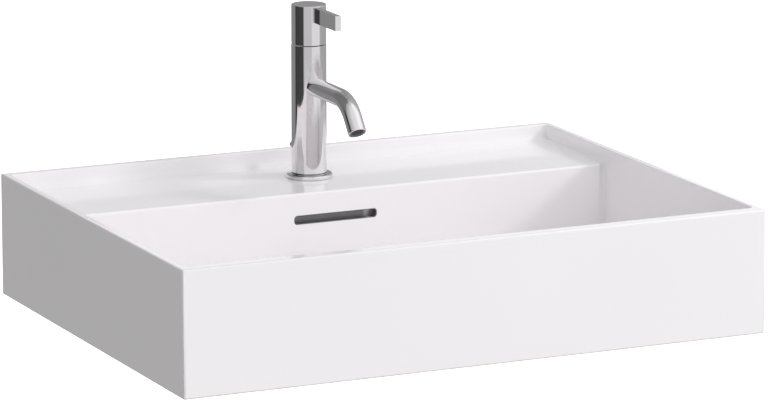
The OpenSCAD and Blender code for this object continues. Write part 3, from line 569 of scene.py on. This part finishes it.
FINISHES = {
    "glaze": (glaze_finish,),
    "chrome": (chrome_finish, "polished_chrome", 0.05, 1.0),
    # Chrome darkened to 0.3 as painted shade, for the ring in the groove under the column
    "dark_chrome": (chrome_finish, "dark_chrome", 0.08, 0.3),
    "stainless": (steel_finish,),
    "liner": (liner_finish,),
    "brass": (brass_finish,),
    "rubber": (rubber_finish,),
    "white_plastic": (plastic_finish, "white_moulding", "white_plastic", 0.42),
    "grey_plastic": (plastic_finish, "grey_moulding", "grey_plastic", 0.45),
    "disc_ceramic": (disc_finish,),
}
finished = {}


def finish_named(name):
    """The material of this name, made when it is first asked for."""
    if name not in finished:
        make, *details = FINISHES[name]
        finished[name] = make(*details)
    return finished[name]


# The pieces


class BASIN_OT_ceramic(bpy.types.Operator):
    """The glazed basin, with a round edge at its overflow slot"""

    bl_idname = "basin.ceramic"
    bl_label = "Ceramic"

    def execute(self, context):
        piece = bpy.data.objects.new("glazed_basin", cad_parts["basin_body"].data.copy())
        context.scene.collection.objects.link(piece)
        bm = bmesh.new()
        bm.from_mesh(piece.data)
        bmesh.ops.remove_doubles(bm, verts=bm.verts, dist=1e-6)
        bmesh.ops.dissolve_limit(bm, angle_limit=math.radians(0.3), verts=bm.verts, edges=bm.edges)
        slot_low, slot_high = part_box("overflow_liner")
        back_wall = slot_low.y - 1 * MM
        margin = 2 * MM
        lips = [
            edge for edge in bm.edges
            if all(
                abs(v.co.y - back_wall) < 0.01 * MM
                and slot_low.x - margin < v.co.x < slot_high.x + margin
                and slot_low.z - margin < v.co.z < slot_high.z + margin
                for v in edge.verts
            )
            and edge.is_manifold and edge.calc_face_angle(0) > math.radians(40)
        ]
        if not lips:
            raise RuntimeError("the overflow slot's edge wasn't found")
        bmesh.ops.bevel(
            bm, geom=lips, offset=context.scene.basin_sizes.slot_edge, segments=4, profile=0.5,
            affect="EDGES", clamp_overlap=True,
        )
        store(bm, piece.data)
        piece.data.set_sharp_from_angle(angle=math.radians(35))
        finish_piece(piece, "basin", "glaze", "basin_body")
        return {"FINISHED"}


class BASIN_OT_overflow(bpy.types.Operator):
    """The folded steel liner in the overflow slot"""

    bl_idname = "basin.overflow"
    bl_label = "Overflow liner"

    def execute(self, context):
        dress(("overflow_liner", "liner", context.scene.basin_sizes.liner_lip / MM))
        return {"FINISHED"}


class BASIN_OT_column(bpy.types.Operator):
    """The tap's column, with the bores and slots that its spout, rod and tails need"""

    bl_idname = "basin.column"
    bl_label = "Tap column"

    def execute(self, context):
        tap = context.scene.basin_tap
        radius, edge = tap.column_radius, tap.column_edge
        low, top = heights("tap_body", DECK)
        foot, spigot = 2 * MM, 15 * MM
        groove, neck = heights("base_flange", DECK)[1], radius - tap.groove_depth
        bore, floor = half_width("cartridge_base") + FIT, heights("cartridge_base", DECK)[0]
        seat, seat_low = half_width("cartridge_nut") + FIT, heights("cartridge_nut", DECK)[0]
        piece = lathe("tap_column", [
            (0, low, 0), (spigot, low, edge), (spigot, foot, 0.2 * MM), (radius, foot, edge),
            (radius, groove, 0), (neck, groove, 0), (neck, groove + tap.groove_height, 0),
            (radius, groove + tap.groove_height, edge), (radius, top, edge), (seat, top, 0.2 * MM),
            (seat, seat_low, 0), (bore, seat_low, 0), (bore, floor, 0), (0, floor, 0),
        ], TAP_FRAME, closed=False)
        spout = TAP_FRAME @ moved(z=SPOUT_HIGH.z - SPOUT_RADIUS - DECK) @ turned(90, "X")
        spout_root = TAP_PLACE.y - SPOUT_HIGH.y
        rod = ROD_RADIUS + 0.3 * MM
        knob_up = middle("waste_knob").z - DECK
        slot_low, slot_high = knob_up - rod, knob_up + ROD_TRAVEL + rod
        slot = rod - 0.1 * MM
        past, below = radius + 1.5 * MM, low - 1 * MM
        tools = [
            round_tool(SPOUT_RADIUS + FIT, spout_root, past, spout, 128),
            round_tool(SPOUT_RADIUS - tap.spout_wall, 6 * MM, spout_root + 0.6 * MM, spout, 128),
            round_tool(rod, below, slot_high + 3 * MM, TAP_FRAME @ moved(y=ROD_BACK)),
            box_tool((-slot, ROD_BACK, slot_low), (slot, past, slot_high), TAP_FRAME),
        ]
        inlet, inlet_top = 4.5 * MM, 10 * MM
        for x in (-7 * MM, 7 * MM):
            tools.append(round_tool(inlet, below, inlet_top, TAP_FRAME @ moved(x, -5 * MM)))
        carve(piece, *tools)
        finish_piece(piece, "basin", "chrome", "tap_body")
        # A ring that fills the groove under the column, in chrome darkened as painted shade of the groove
        slack, outer = 0.02 * MM, radius - 0.15 * MM
        ring_low, ring_high = groove + slack, groove + tap.groove_height - slack
        ring = lathe("groove_ring", [
            (neck + slack, ring_low, 0), (outer, ring_low, edge), (outer, ring_high, edge),
            (neck + slack, ring_high, 0),
        ], TAP_FRAME, arc=3)
        finish_piece(ring, "basin", "chrome", finish="dark_chrome")
        return {"FINISHED"}


class BASIN_OT_foot(bpy.types.Operator):
    """The round foot under the column, and its seal"""

    bl_idname = "basin.foot"
    bl_label = "Tap foot"

    def execute(self, context):
        tap = context.scene.basin_tap
        outer = half_width("base_flange")
        low, high = heights("base_flange", DECK)
        inner, seat_radius, seat = 16.5 * MM, tap.column_radius + 0.4 * MM, 2 * MM
        seal_in, seal_out = tap.column_radius + 0.6 * MM, half_width("base_seal")
        seal_top = heights("base_seal", DECK)[1]
        piece = lathe("tap_foot", [
            (inner, low, 0), (seal_in, low, 0), (seal_in, seal_top, 0), (seal_out, seal_top, 0),
            (seal_out, low, 0.1 * MM), (outer, low, 0.3 * MM), (outer, high, tap.foot_edge),
            (seat_radius, high - tap.foot_dish, 0.3 * MM), (seat_radius, seat, 0), (inner, seat, 0.2 * MM),
        ], TAP_FRAME)
        finish_piece(piece, "basin", "chrome", "base_flange")
        dress(("base_seal", "rubber", 0.1))
        return {"FINISHED"}


class BASIN_OT_spout(bpy.types.Operator):
    """The bent spout tube, with a rolled lip at its outlet"""

    bl_idname = "basin.spout"
    bl_label = "Spout"

    def execute(self, context):
        tap = context.scene.basin_tap
        radius, inner = SPOUT_RADIUS, SPOUT_RADIUS - tap.spout_wall
        axis_up = SPOUT_HIGH.z - radius
        root = SPOUT_HIGH.y
        slope, bend = tap.spout_slope, tap.spout_bend
        down = Vector((0, -math.cos(slope), -math.sin(slope)))
        bend_end = outlet_place(tap) - down * tap.spout_end
        straight_end = bend_end.y + bend * math.sin(slope)
        arc = bend * slope
        first = root - straight_end
        total = first + arc + tap.spout_end

        def ring_place(along):
            if along <= first:
                return Vector((0, root - along, axis_up)), 0.0
            if along <= first + arc:
                turn = (along - first) / bend
                drop = bend * (1 - math.cos(turn))
                return Vector((0, straight_end - bend * math.sin(turn), axis_up - drop)), turn
            return bend_end + down * (along - first - arc), slope

        lip = tap.spout_wall * 0.25
        stations = [first * k / 12 for k in range(12)]
        stations += [first + arc * k / 48 for k in range(48)]
        stations += [first + arc + (tap.spout_end - lip) * k / 6 for k in range(6)]
        last = stations[-1]
        profile = [(s, radius) for s in stations]
        lip_corners = [(last, radius, 0), (total, radius, lip), (total, inner, lip), (last, inner, 0)]
        profile += rounded(lip_corners, 6, False)
        profile += [(s, inner) for s in reversed(stations[:-1])]
        bm = bmesh.new()
        steps = 128
        turns = [2 * math.pi * k / steps for k in range(steps)]
        across = Vector((1, 0, 0))
        rings = []
        for along, size in profile:
            centre, slant = ring_place(along)
            over = Vector((0, -math.sin(slant), math.cos(slant)))
            rings.append([
                bm.verts.new(centre + across * (size * math.cos(turn)) + over * (size * math.sin(turn)))
                for turn in turns
            ])
        join_rings(bm, rings, True)
        piece = add_piece("spout", bm)
        finish_piece(piece, "basin", "chrome", "spout_tube")
        return {"FINISHED"}


def outlet_place(tap):
    """The middle of the spout's outlet, from the lowest and foremost points of its rim."""
    up, out = math.cos(tap.spout_slope), math.sin(tap.spout_slope)
    return Vector((0, SPOUT_LOW.y + SPOUT_RADIUS * out, SPOUT_LOW.z + SPOUT_RADIUS * up))


class BASIN_OT_aerator(bpy.types.Operator):
    """The aerator in the spout's end: a housing with a castellated rim and a honeycomb insert"""

    bl_idname = "basin.aerator"
    bl_label = "Aerator"

    def execute(self, context):
        tap = context.scene.basin_tap
        place = moved(*outlet_place(tap)) @ turned(90 + math.degrees(tap.spout_slope), "X")
        outer = SPOUT_RADIUS - tap.spout_wall - FIT
        inner = outer - 1.1 * MM
        low, high = -8.8 * MM, -0.35 * MM
        back, front = 0.2 * MM, 0.25 * MM
        housing = lathe("aerator_housing_ring", [
            (inner, low, back), (outer, low, back), (outer, high, front), (inner, high, front),
        ], place, 96, 3)
        half, deep, past = 0.9 * MM, 1.1 * MM, 0.3 * MM
        notches = [
            box_tool(
                (inner - past, -half, high - deep), (outer + past, half, high + 1 * MM),
                place @ turned(90 * k + 45, "Z"),
            )
            for k in range(4)
        ]
        carve(housing, *notches)
        finish_piece(housing, "basin", "grey_plastic", "aerator_housing", edge=0.1 * MM, angle=35)
        insert = self.honeycomb(inner - 0.02 * MM, -7.8 * MM, high - 0.6 * MM, place)
        finish_piece(insert, "basin", "grey_plastic", "aerator_insert")
        return {"FINISHED"}

    def honeycomb(self, radius, low, high, place):
        """A round plate with a net of six-sided cells standing on it."""
        bm = bmesh.new()
        cell, web, rim = 0.82 * MM, 0.14 * MM, 1 * MM
        floor = low + 2.4 * MM
        weld = 0.01 * MM
        corners = {}
        cells = []
        rows = int(radius / cell) + 2
        for row in range(-rows, rows + 1):
            for column in range(-rows, rows + 1):
                centre = Vector((cell * math.sqrt(3) * (column + row / 2), cell * 1.5 * row, 0))
                if centre.length > radius - 1.25 * cell:
                    continue
                ring = []
                for k in range(6):
                    turn = math.radians(60 * k + 30)
                    spot = centre + Vector((math.cos(turn), math.sin(turn), 0)) * cell
                    key = (round(spot.x / weld), round(spot.y / weld))
                    if key not in corners:
                        corners[key] = bm.verts.new((spot.x, spot.y, high))
                    ring.append(corners[key])
                cells.append(bm.faces.new(ring))
        bmesh.ops.inset_individual(bm, faces=cells, thickness=web, use_even_offset=True)
        bmesh.ops.delete(bm, geom=cells, context="FACES_ONLY")
        walls = bmesh.ops.extrude_face_region(bm, geom=list(bm.faces))
        sunk = [v for v in walls["geom"] if isinstance(v, bmesh.types.BMVert)]
        bmesh.ops.translate(bm, verts=sunk, vec=(0, 0, floor - high))
        net = add_piece("aerator_net", bm, place)
        plate = lathe("aerator_comb", [
            (0, floor, 0), (radius - rim, floor, 0), (radius - rim, high, 0.1 * MM), (radius, high, 0.1 * MM),
            (radius, low, 0), (0, low, 0),
        ], place, 96, 3, False)
        unite(plate, net)
        plate.data.set_sharp_from_angle(angle=math.radians(30))
        return plate


class BASIN_OT_handle(bpy.types.Operator):
    """The handle's cap and its flat lever blade"""

    bl_idname = "basin.handle"
    bl_label = "Handle"

    def execute(self, context):
        tap = context.scene.basin_tap
        radius = half_width("handle_cap")
        low, high = heights("handle_cap", DECK)
        pin_up = middle("lever_pin").z - DECK
        screw_up = middle("handle_screw").z - DECK
        wall, roof, boss = radius - 2.7 * MM, high - 3.2 * MM, 7.5 * MM
        spindle, boss_low = 4.05 * MM, pin_up + 7 * MM
        cap = lathe("handle_cap_shell", [
            (0, high, 0), (radius, high, tap.cap_edge), (radius, low, tap.column_edge), (wall, low, 0.2 * MM),
            (wall, roof, 0), (boss, roof, 0), (boss, boss_low, 0), (spindle, boss_low, 0),
            (spindle, roof - 8 * MM, 0), (0, roof - 8 * MM, 0),
        ], TAP_FRAME, closed=False)
        slack = 0.06 * MM
        half = half_width("lever_blade") + slack
        slot = box_tool((-half, BLADE_LOW.y, BLADE_LOW.z - slack), (half, BLADE_HIGH.y, BLADE_HIGH.z + slack))
        gap, free, far = low - heights("tap_body", DECK)[1], 0.3 * MM, 40 * MM
        lift = math.radians(HANDLE_LIFT)
        relief_start = (pin_up - low) * math.tan(lift / 2) + (gap - free) / math.sin(lift)
        relief = TAP_FRAME @ moved(0, relief_start, low) @ turned(HANDLE_LIFT, "X")
        wedge = box_tool((-far, 0, -far), (far, far, 0), relief)
        screw_axis = TAP_FRAME @ moved(z=screw_up) @ turned(-90, "X")
        screw = round_tool(2.6 * MM, 5 * MM, radius + 2 * MM, screw_axis)
        carve(cap, slot, wedge, screw)
        finish_piece(cap, "handle", "chrome", "handle_cap", edge=0.12 * MM, angle=50)
        blade = box_tool(BLADE_LOW, BLADE_HIGH)
        blade.name = blade.data.name = "lever"
        finish_piece(blade, "handle", "chrome", "lever_blade", edge=tap.blade_edge, segments=4)
        dress(("handle_screw", "stainless", 0.15), ("lever_stem", "brass", 0))
        return {"FINISHED"}


class BASIN_OT_cartridge(bpy.types.Operator):
    """The ceramic disc cartridge inside the column"""

    bl_idname = "basin.cartridge"
    bl_label = "Cartridge"

    def execute(self, context):
        dress(
            ("cartridge_base", "white_plastic", 0.1), ("cartridge_shell", "white_plastic", 0.1),
            ("cartridge_seals", "rubber", 0.1), ("fixed_disc", "disc_ceramic", 0.1),
            ("moving_disc", "disc_ceramic", 0.1), ("cartridge_nut", "brass", 0.1),
            ("disc_carrier", "grey_plastic", 0.1), ("lever_pin", "stainless", 0.1),
        )
        return {"FINISHED"}


class BASIN_OT_waste_control(bpy.types.Operator):
    """The knob behind the column and the linkage under the ledge that works the plug"""

    bl_idname = "basin.waste_control"
    bl_label = "Waste control"

    def execute(self, context):
        tap = context.scene.basin_tap
        radius = (KNOB_HIGH.z - KNOB_LOW.z) / 2
        rod, start, edge = ROD_RADIUS, ROD_BACK, 0.1 * MM
        neck, end = tap.column_radius + 4.5 * MM, KNOB_HIGH.y - TAP_PLACE.y
        waist = rod - 0.4 * MM
        corners = [
            (0, start, 0), (waist, start, 0), (waist, start + rod, 0), (rod, start + rod, edge),
            (rod, neck, 0), (radius, neck, tap.knob_edge),
        ]
        groove, pitch = radius - 0.35 * MM, 1.5 * MM
        for k in range(tap.knob_grooves):
            here = neck + 3 * MM + k * pitch
            corners += [
                (radius, here, edge), (groove, here + 0.2 * MM, edge), (groove, here + 0.5 * MM, edge),
                (radius, here + 0.7 * MM, edge),
            ]
        corners += [(radius, end, tap.knob_edge), (0, end, 0)]
        place = moved(0, TAP_PLACE.y, KNOB_LOW.z + radius) @ turned(-90, "X")
        knob = lathe("waste_knob_turned", corners, place, 96, 3, False)
        finish_piece(knob, "pull_rod", "chrome", "waste_knob")
        dress(
            ("lift_rod", "chrome", 0.3), ("rod_clevis", "grey_plastic", 0.6),
            ("clevis_screw", "stainless", 0.15), ("ball_rod", "stainless", 0.4),
        )
        return {"FINISHED"}


def threaded_rod(name, crest, root, pitch, low, high, place, steps=48):
    """A rod with a cut thread: the crest runs round it as a helix, and both ends are chamfered."""
    bm = bmesh.new()
    rows = int((high - low) / pitch * 8)
    chamfer = crest - root
    rings = [round_ring(bm, 0, low, steps)]
    for row in range(rows + 1):
        height = low + (high - low) * row / rows
        near_end = min(height - low, high - height)
        limit = root - chamfer + near_end if near_end < 2 * chamfer else crest

        def thread(turn):
            phase = (height / pitch - turn / (2 * math.pi)) % 1
            ridge = 1 - abs(2 * phase - 1)
            return min(limit, root + chamfer * min(1, ridge * 1.25))

        rings.append(round_ring(bm, thread, height, steps))
    rings.append(round_ring(bm, 0, high, steps))
    join_rings(bm, rings, False)
    return add_piece(name, bm, place)


def hex_nut(name, flats, height, bore, place, steps=96):
    """A six-sided nut whose corners are turned off at both faces, with a countersunk bore."""
    radius = flats / 2
    sixth = math.pi / 3
    corner = radius / math.cos(sixth / 2)
    chamfer = (corner - radius) * 0.62
    face = radius * 0.985
    sink = min(0.6 * MM, height / 8)
    half = [(bore, sink), (bore + sink, 0), (face, 0)]
    for k in range(1, 5):
        limit = face + (corner - face) * k / 4
        half.append((
            lambda turn, limit=limit: min(limit, radius / math.cos((turn + sixth / 2) % sixth - sixth / 2)),
            chamfer * k / 4,
        ))
    bm = bmesh.new()
    rings = [round_ring(bm, size, level, steps) for size, level in half]
    rings += [round_ring(bm, size, height - level, steps) for size, level in reversed(half)]
    join_rings(bm, rings, True)
    return add_piece(name, bm, place)


class BASIN_OT_fixing(bpy.types.Operator):
    """The threaded stud, washer and nut that clamp the tap under the ledge"""

    bl_idname = "basin.fixing"
    bl_label = "Tap fixing"

    def execute(self, context):
        radius, flats = half_width("mounting_stud"), 10 * MM
        pitch, root = context.scene.basin_waste.stud_pitch, radius - 0.45 * MM
        centre = middle("mounting_stud")
        place = moved(centre.x, centre.y)
        low, high = heights("mounting_stud")
        stud = threaded_rod("threaded_stud", radius, root, pitch, low, high, place)
        finish_piece(stud, "basin", "brass", "mounting_stud", edge=None)
        low, high = heights("fixing_nut")
        nut = hex_nut("clamp_nut", flats, high - low, radius, place @ moved(z=low) @ turned(30, "Z"))
        nut.data.set_sharp_from_angle(angle=math.radians(30))
        finish_piece(nut, "basin", "brass", "fixing_nut")
        dress(("clamp_pad", "rubber", 0.25), ("clamp_washer", "stainless", 0.25))
        return {"FINISHED"}


class BASIN_OT_waste(bpy.types.Operator):
    """The waste below the drain: flange, seals, nut and tailpiece"""

    bl_idname = "basin.waste"
    bl_label = "Waste"

    def execute(self, context):
        place = moved(*DRAIN_PLACE)
        outer = half_width("waste_flange")
        low, high = heights("waste_flange", DRAIN_PLACE.z)
        flange_low, cone = high - 2.5 * MM, 6 * MM
        tube, bore, throat = 19.5 * MM, 16.5 * MM, 20.5 * MM
        flange_edge = context.scene.basin_waste.flange_edge
        flange = lathe("waste_flange_turned", [
            (bore, low, 0.4 * MM), (tube, low, 0.4 * MM), (tube, flange_low - cone, 0),
            (throat + 1.5 * MM, flange_low, 0), (outer, flange_low, 0.3 * MM), (outer, high, flange_edge),
            (throat, high, 1.2 * MM), (bore, high - cone, 2 * MM),
        ], place)
        windows = [
            box_tool((-30 * MM, -7 * MM, 4 * MM), (30 * MM, 7 * MM, 10 * MM), place @ turned(turn, "Z"))
            for turn in (0, 90)
        ]
        carve(flange, *windows)
        finish_piece(flange, "basin", "chrome", "waste_flange", edge=0.2 * MM, angle=50)
        dress(
            ("waste_top_seal", "rubber", 0.2), ("waste_bottom_seal", "rubber", 0.5),
            ("slip_washer", "white_plastic", 0.3), ("waste_tee", "chrome", 0.4),
            ("ball_seat", "white_plastic", 0.1), ("ball_nut", "chrome", 0.4), ("back_nut", "brass", 0.5),
        )
        return {"FINISHED"}


class BASIN_OT_plug(bpy.types.Operator):
    """The pop-up plug with its crowned cap"""

    bl_idname = "basin.plug"
    bl_label = "Plug"

    def execute(self, context):
        waste = context.scene.basin_waste
        radius = half_width("plug_cap")
        low, high = heights("plug_cap")
        steps, reach = 8, 0.93
        crown = [
            (radius * reach * k / steps, high - waste.plug_crown * (reach * k / steps) ** 2, 0)
            for k in range(steps + 1)
        ]
        rim = [(radius, high - waste.plug_crown, waste.plug_edge), (radius, low, 0.4 * MM), (0, low, 0)]
        cap = lathe("plug_cap_turned", crown + rim, moved(0, DRAIN_PLACE.y, 0), closed=False)
        finish_piece(cap, "plug", "chrome", "plug_cap")
        dress(("plug_body", "grey_plastic", 0.3), ("plug_seal", "rubber", 0.4))
        return {"FINISHED"}


# The stage


def make_camera(stage):
    camera = bpy.data.objects.new("camera", bpy.data.cameras.new("camera"))
    bpy.context.scene.collection.objects.link(camera)
    camera.location = stage.camera_place
    camera.rotation_euler = (math.pi / 2 - stage.camera_pitch, 0, -stage.camera_yaw)
    camera.data.sensor_width = 36
    camera.data.lens = stage.camera_lens
    camera.data.clip_end = 100
    bpy.context.scene.camera = camera


def make_floor(stage):
    """A pale floor that is seen from above, and looked through from below."""
    reach = stage.floor_reach
    bm = bmesh.new()
    corners = ((-1, -1), (1, -1), (1, 1), (-1, 1))
    bm.faces.new([bm.verts.new((x * reach, y * reach, 0)) for x, y in corners])
    floor = add_piece("floor", bm, moved(z=-stage.floor_drop))
    if floor.data.polygons[0].normal.z < 0:
        floor.data.flip_normals()
    material = bpy.data.materials.new("pale_floor")
    net = NodeNet(material)
    shader = net.nodes["Principled BSDF"]
    looks = {"Base Color": 0.9, "Roughness": 0.9, "Emission Color": 1.0, "Emission Strength": 0.9}
    for socket, value in looks.items():
        net.fill(shader.inputs[socket], value)
    clear = net.add("BsdfTransparent").outputs[0]
    below = net.add("NewGeometry").outputs["Backfacing"]
    mix = net.add("MixShader", {0: below, 1: shader.outputs[0], 2: clear})
    net.fill(net.nodes["Material Output"].inputs["Surface"], mix.outputs[0])
    floor.data.materials.append(material)
    floor.visible_diffuse = floor.visible_glossy = floor.visible_shadow = False


def make_lamp(name, power, width, height):
    light = bpy.data.lights.new(name, "AREA")
    light.shape = "RECTANGLE"
    light.size, light.size_y = width, height
    light.energy = power
    light.color = LAMP_TINT
    lamp = bpy.data.objects.new(name, light)
    bpy.context.scene.collection.objects.link(lamp)
    lamp.visible_camera = False
    return lamp


def make_lamps(stage):
    """The soft light high at the right, and two white boards behind the basin that its glaze mirrors."""
    key = make_lamp("key", stage.key_power, stage.key_size, stage.key_size)
    key.visible_glossy = False
    side, up = stage.key_side, stage.key_rise
    back = Vector((math.sin(side) * math.cos(up), -math.cos(side) * math.cos(up), math.sin(up)))
    key.location = BOWL_MIDDLE + back * stage.key_away
    key.rotation_mode = "QUATERNION"
    key.rotation_quaternion = back.to_track_quat("Z", "Y")
    lit = bpy.data.collections.new("board_lit")
    lit.objects.link(bpy.data.objects["glazed_basin"])
    # Each board: power, width, height, and its place to the right, behind and above the basin's back rim
    boards = {
        "near_board": (stage.near_board, 0.9, 0.12, 0.22, 0.1, 0.15),
        "far_board": (stage.far_board, 1.6, 0.49, 1.1, 2.5, 0.414),
    }
    for name, (power, width, height, right, behind, above) in boards.items():
        board = make_lamp(name, power, width, height)
        board.visible_diffuse = False
        board.location = (right, BODY_HIGH.y + behind, BODY_HIGH.z + above)
        board.rotation_euler = (-math.pi / 2, 0, 0)
        board.light_linking.receiver_collection = lit


# Brightness of the studio's walls by bearing, as (degrees from the front towards the left, brightness)
DOME_WALLS = (
    (-180, 0.45), (-75, 0.45), (-55, 1.0), (55, 0.92), (73, 0.09), (120, 0.08), (150, 0.38), (180, 0.45),
)
LOW_WALLS = (
    (-180, 0.24), (-156, 0.26), (-150, 0.35), (-56, 0.40), (-50, 0.74), (1, 0.74), (7, 0.54), (56, 0.54),
    (124, 0.24), (180, 0.24),
)
HIGH_WALLS = (
    (-180, 0.30), (-155, 0.28), (-120, 0.40), (-100, 0.48), (-90, 0.80), (-74, 1.0), (-45, 0.96), (0, 0.77),
    (60, 0.73), (82, 0.50), (94, 0.50), (108, 0.18), (150, 0.16), (180, 0.32),
)
SCREEN = ((-180, 1.0), (54, 1.0), (61, 0.10), (119, 0.16), (128, 1.0), (180, 1.0))


def make_air(stage):
    """Light from all round: a soft dome for matt surfaces, and the studio that gloss mirrors."""
    world = bpy.data.worlds.new("studio")
    bpy.context.scene.world = world
    # Only without sampling of its own does the world tell matt rays from mirrored ones
    world.cycles.sampling_method = "NONE"
    net = NodeNet(world)
    x, y, z = net.split(net.add("TexCoord").outputs["Generated"])
    bearing = net.maths("ARCTAN2", net.maths("MULTIPLY", x, -1.0), net.maths("MULTIPLY", y, -1.0))
    share = net.maths("ADD", net.maths("DIVIDE", bearing, 2 * math.pi), 0.5)
    rays = net.add("LightPath").outputs

    def walls(stops):
        """The brightness that a table of stops gives at each bearing."""
        ramp = net.add("ValToRGB", {"Fac": share})
        while len(ramp.color_ramp.elements) < len(stops):
            ramp.color_ramp.elements.new(0.5)
        for element, (degrees, bright) in zip(ramp.color_ramp.elements, stops):
            element.position = degrees / 360 + 0.5
            element.color = (bright, bright, bright, 1)
        return ramp.outputs["Color"]

    def blend(low, high, first, second):
        """first below the height low, second above high, smoothly between them."""
        return net.mix(net.spread(z, 0, 1, low, high, interpolation_type="SMOOTHSTEP"), first, second)

    def glow(tone, strength):
        return net.add("Background", {"Color": tone, "Strength": strength}).outputs[0]

    def choose(ray, first, second):
        """The second light for rays of this kind, and the first for all others."""
        return net.add("MixShader", {0: rays[ray], 1: first, 2: second}).outputs[0]

    around = walls(DOME_WALLS)
    ground, ground_far, zenith = 0.76, 0.36, 0.69
    dome = blend(-0.10, 0.10, net.maths("MULTIPLY", around, ground), around)
    dome = blend(0.40, 0.70, blend(-0.85, -0.55, ground_far, dome), zenith)
    floor_glow, ceiling_glow = 0.43, 0.55
    studio = blend(-0.17, 0.12, blend(-0.85, -0.55, floor_glow, walls(LOW_WALLS)), walls(HIGH_WALLS))
    studio = net.maths("MULTIPLY", studio, blend(0.235, 0.30, walls(SCREEN), 1.0))
    studio = blend(0.975, 1.0, studio, ceiling_glow)
    light = choose("Is Diffuse Ray", glow(studio, stage.mirror_strength), glow(dome, stage.dome_strength))
    backdrop = choose("Is Camera Ray", light, glow(1.0, 1.0))
    net.fill(net.nodes["World Output"].inputs["Surface"], backdrop)


class BASIN_OT_stage(bpy.types.Operator):
    """The pale floor, the soft studio light and the camera"""

    bl_idname = "basin.stage"
    bl_label = "Stage"

    def execute(self, context):
        stage = context.scene.basin_stage
        make_camera(stage)
        make_floor(stage)
        make_lamps(stage)
        make_air(stage)
        context.scene.view_settings.view_transform = "Standard"
        return {"FINISHED"}


OPERATORS = (
    BASIN_OT_ceramic, BASIN_OT_overflow, BASIN_OT_column, BASIN_OT_foot, BASIN_OT_spout, BASIN_OT_aerator,
    BASIN_OT_handle, BASIN_OT_cartridge, BASIN_OT_waste_control, BASIN_OT_fixing, BASIN_OT_waste,
    BASIN_OT_plug, BASIN_OT_stage,
)


class BASIN_PT_pieces(bpy.types.Panel):
    """The sizes, the colours and a button for each piece"""

    bl_idname = "BASIN_PT_pieces"
    bl_label = "Inset basin"
    bl_space_type = "VIEW_3D"
    bl_region_type = "UI"
    bl_category = "Basin"

    def draw(self, context):
        layout = self.layout
        for name, group in GROUPS.items():
            box = layout.box()
            for prop in group.__annotations__:
                box.prop(getattr(context.scene, name), prop)
        for operator in OPERATORS:
            layout.operator(operator.bl_idname)


def register():
    for group in (*GROUPS.values(), *OPERATORS, BASIN_PT_pieces):
        bpy.utils.register_class(group)
    for name, group in GROUPS.items():
        setattr(bpy.types.Scene, name, PointerProperty(type=group))


def unregister():
    for name in GROUPS:
        delattr(bpy.types.Scene, name)
    for group in (BASIN_PT_pieces, *reversed(OPERATORS), *reversed(GROUPS.values())):
        bpy.utils.unregister_class(group)


def main():
    register()
    for operator in OPERATORS:
        name = operator.bl_idname.split(".")[1]
        getattr(bpy.ops.basin, name)()


if __name__ == "__main__":
    main()
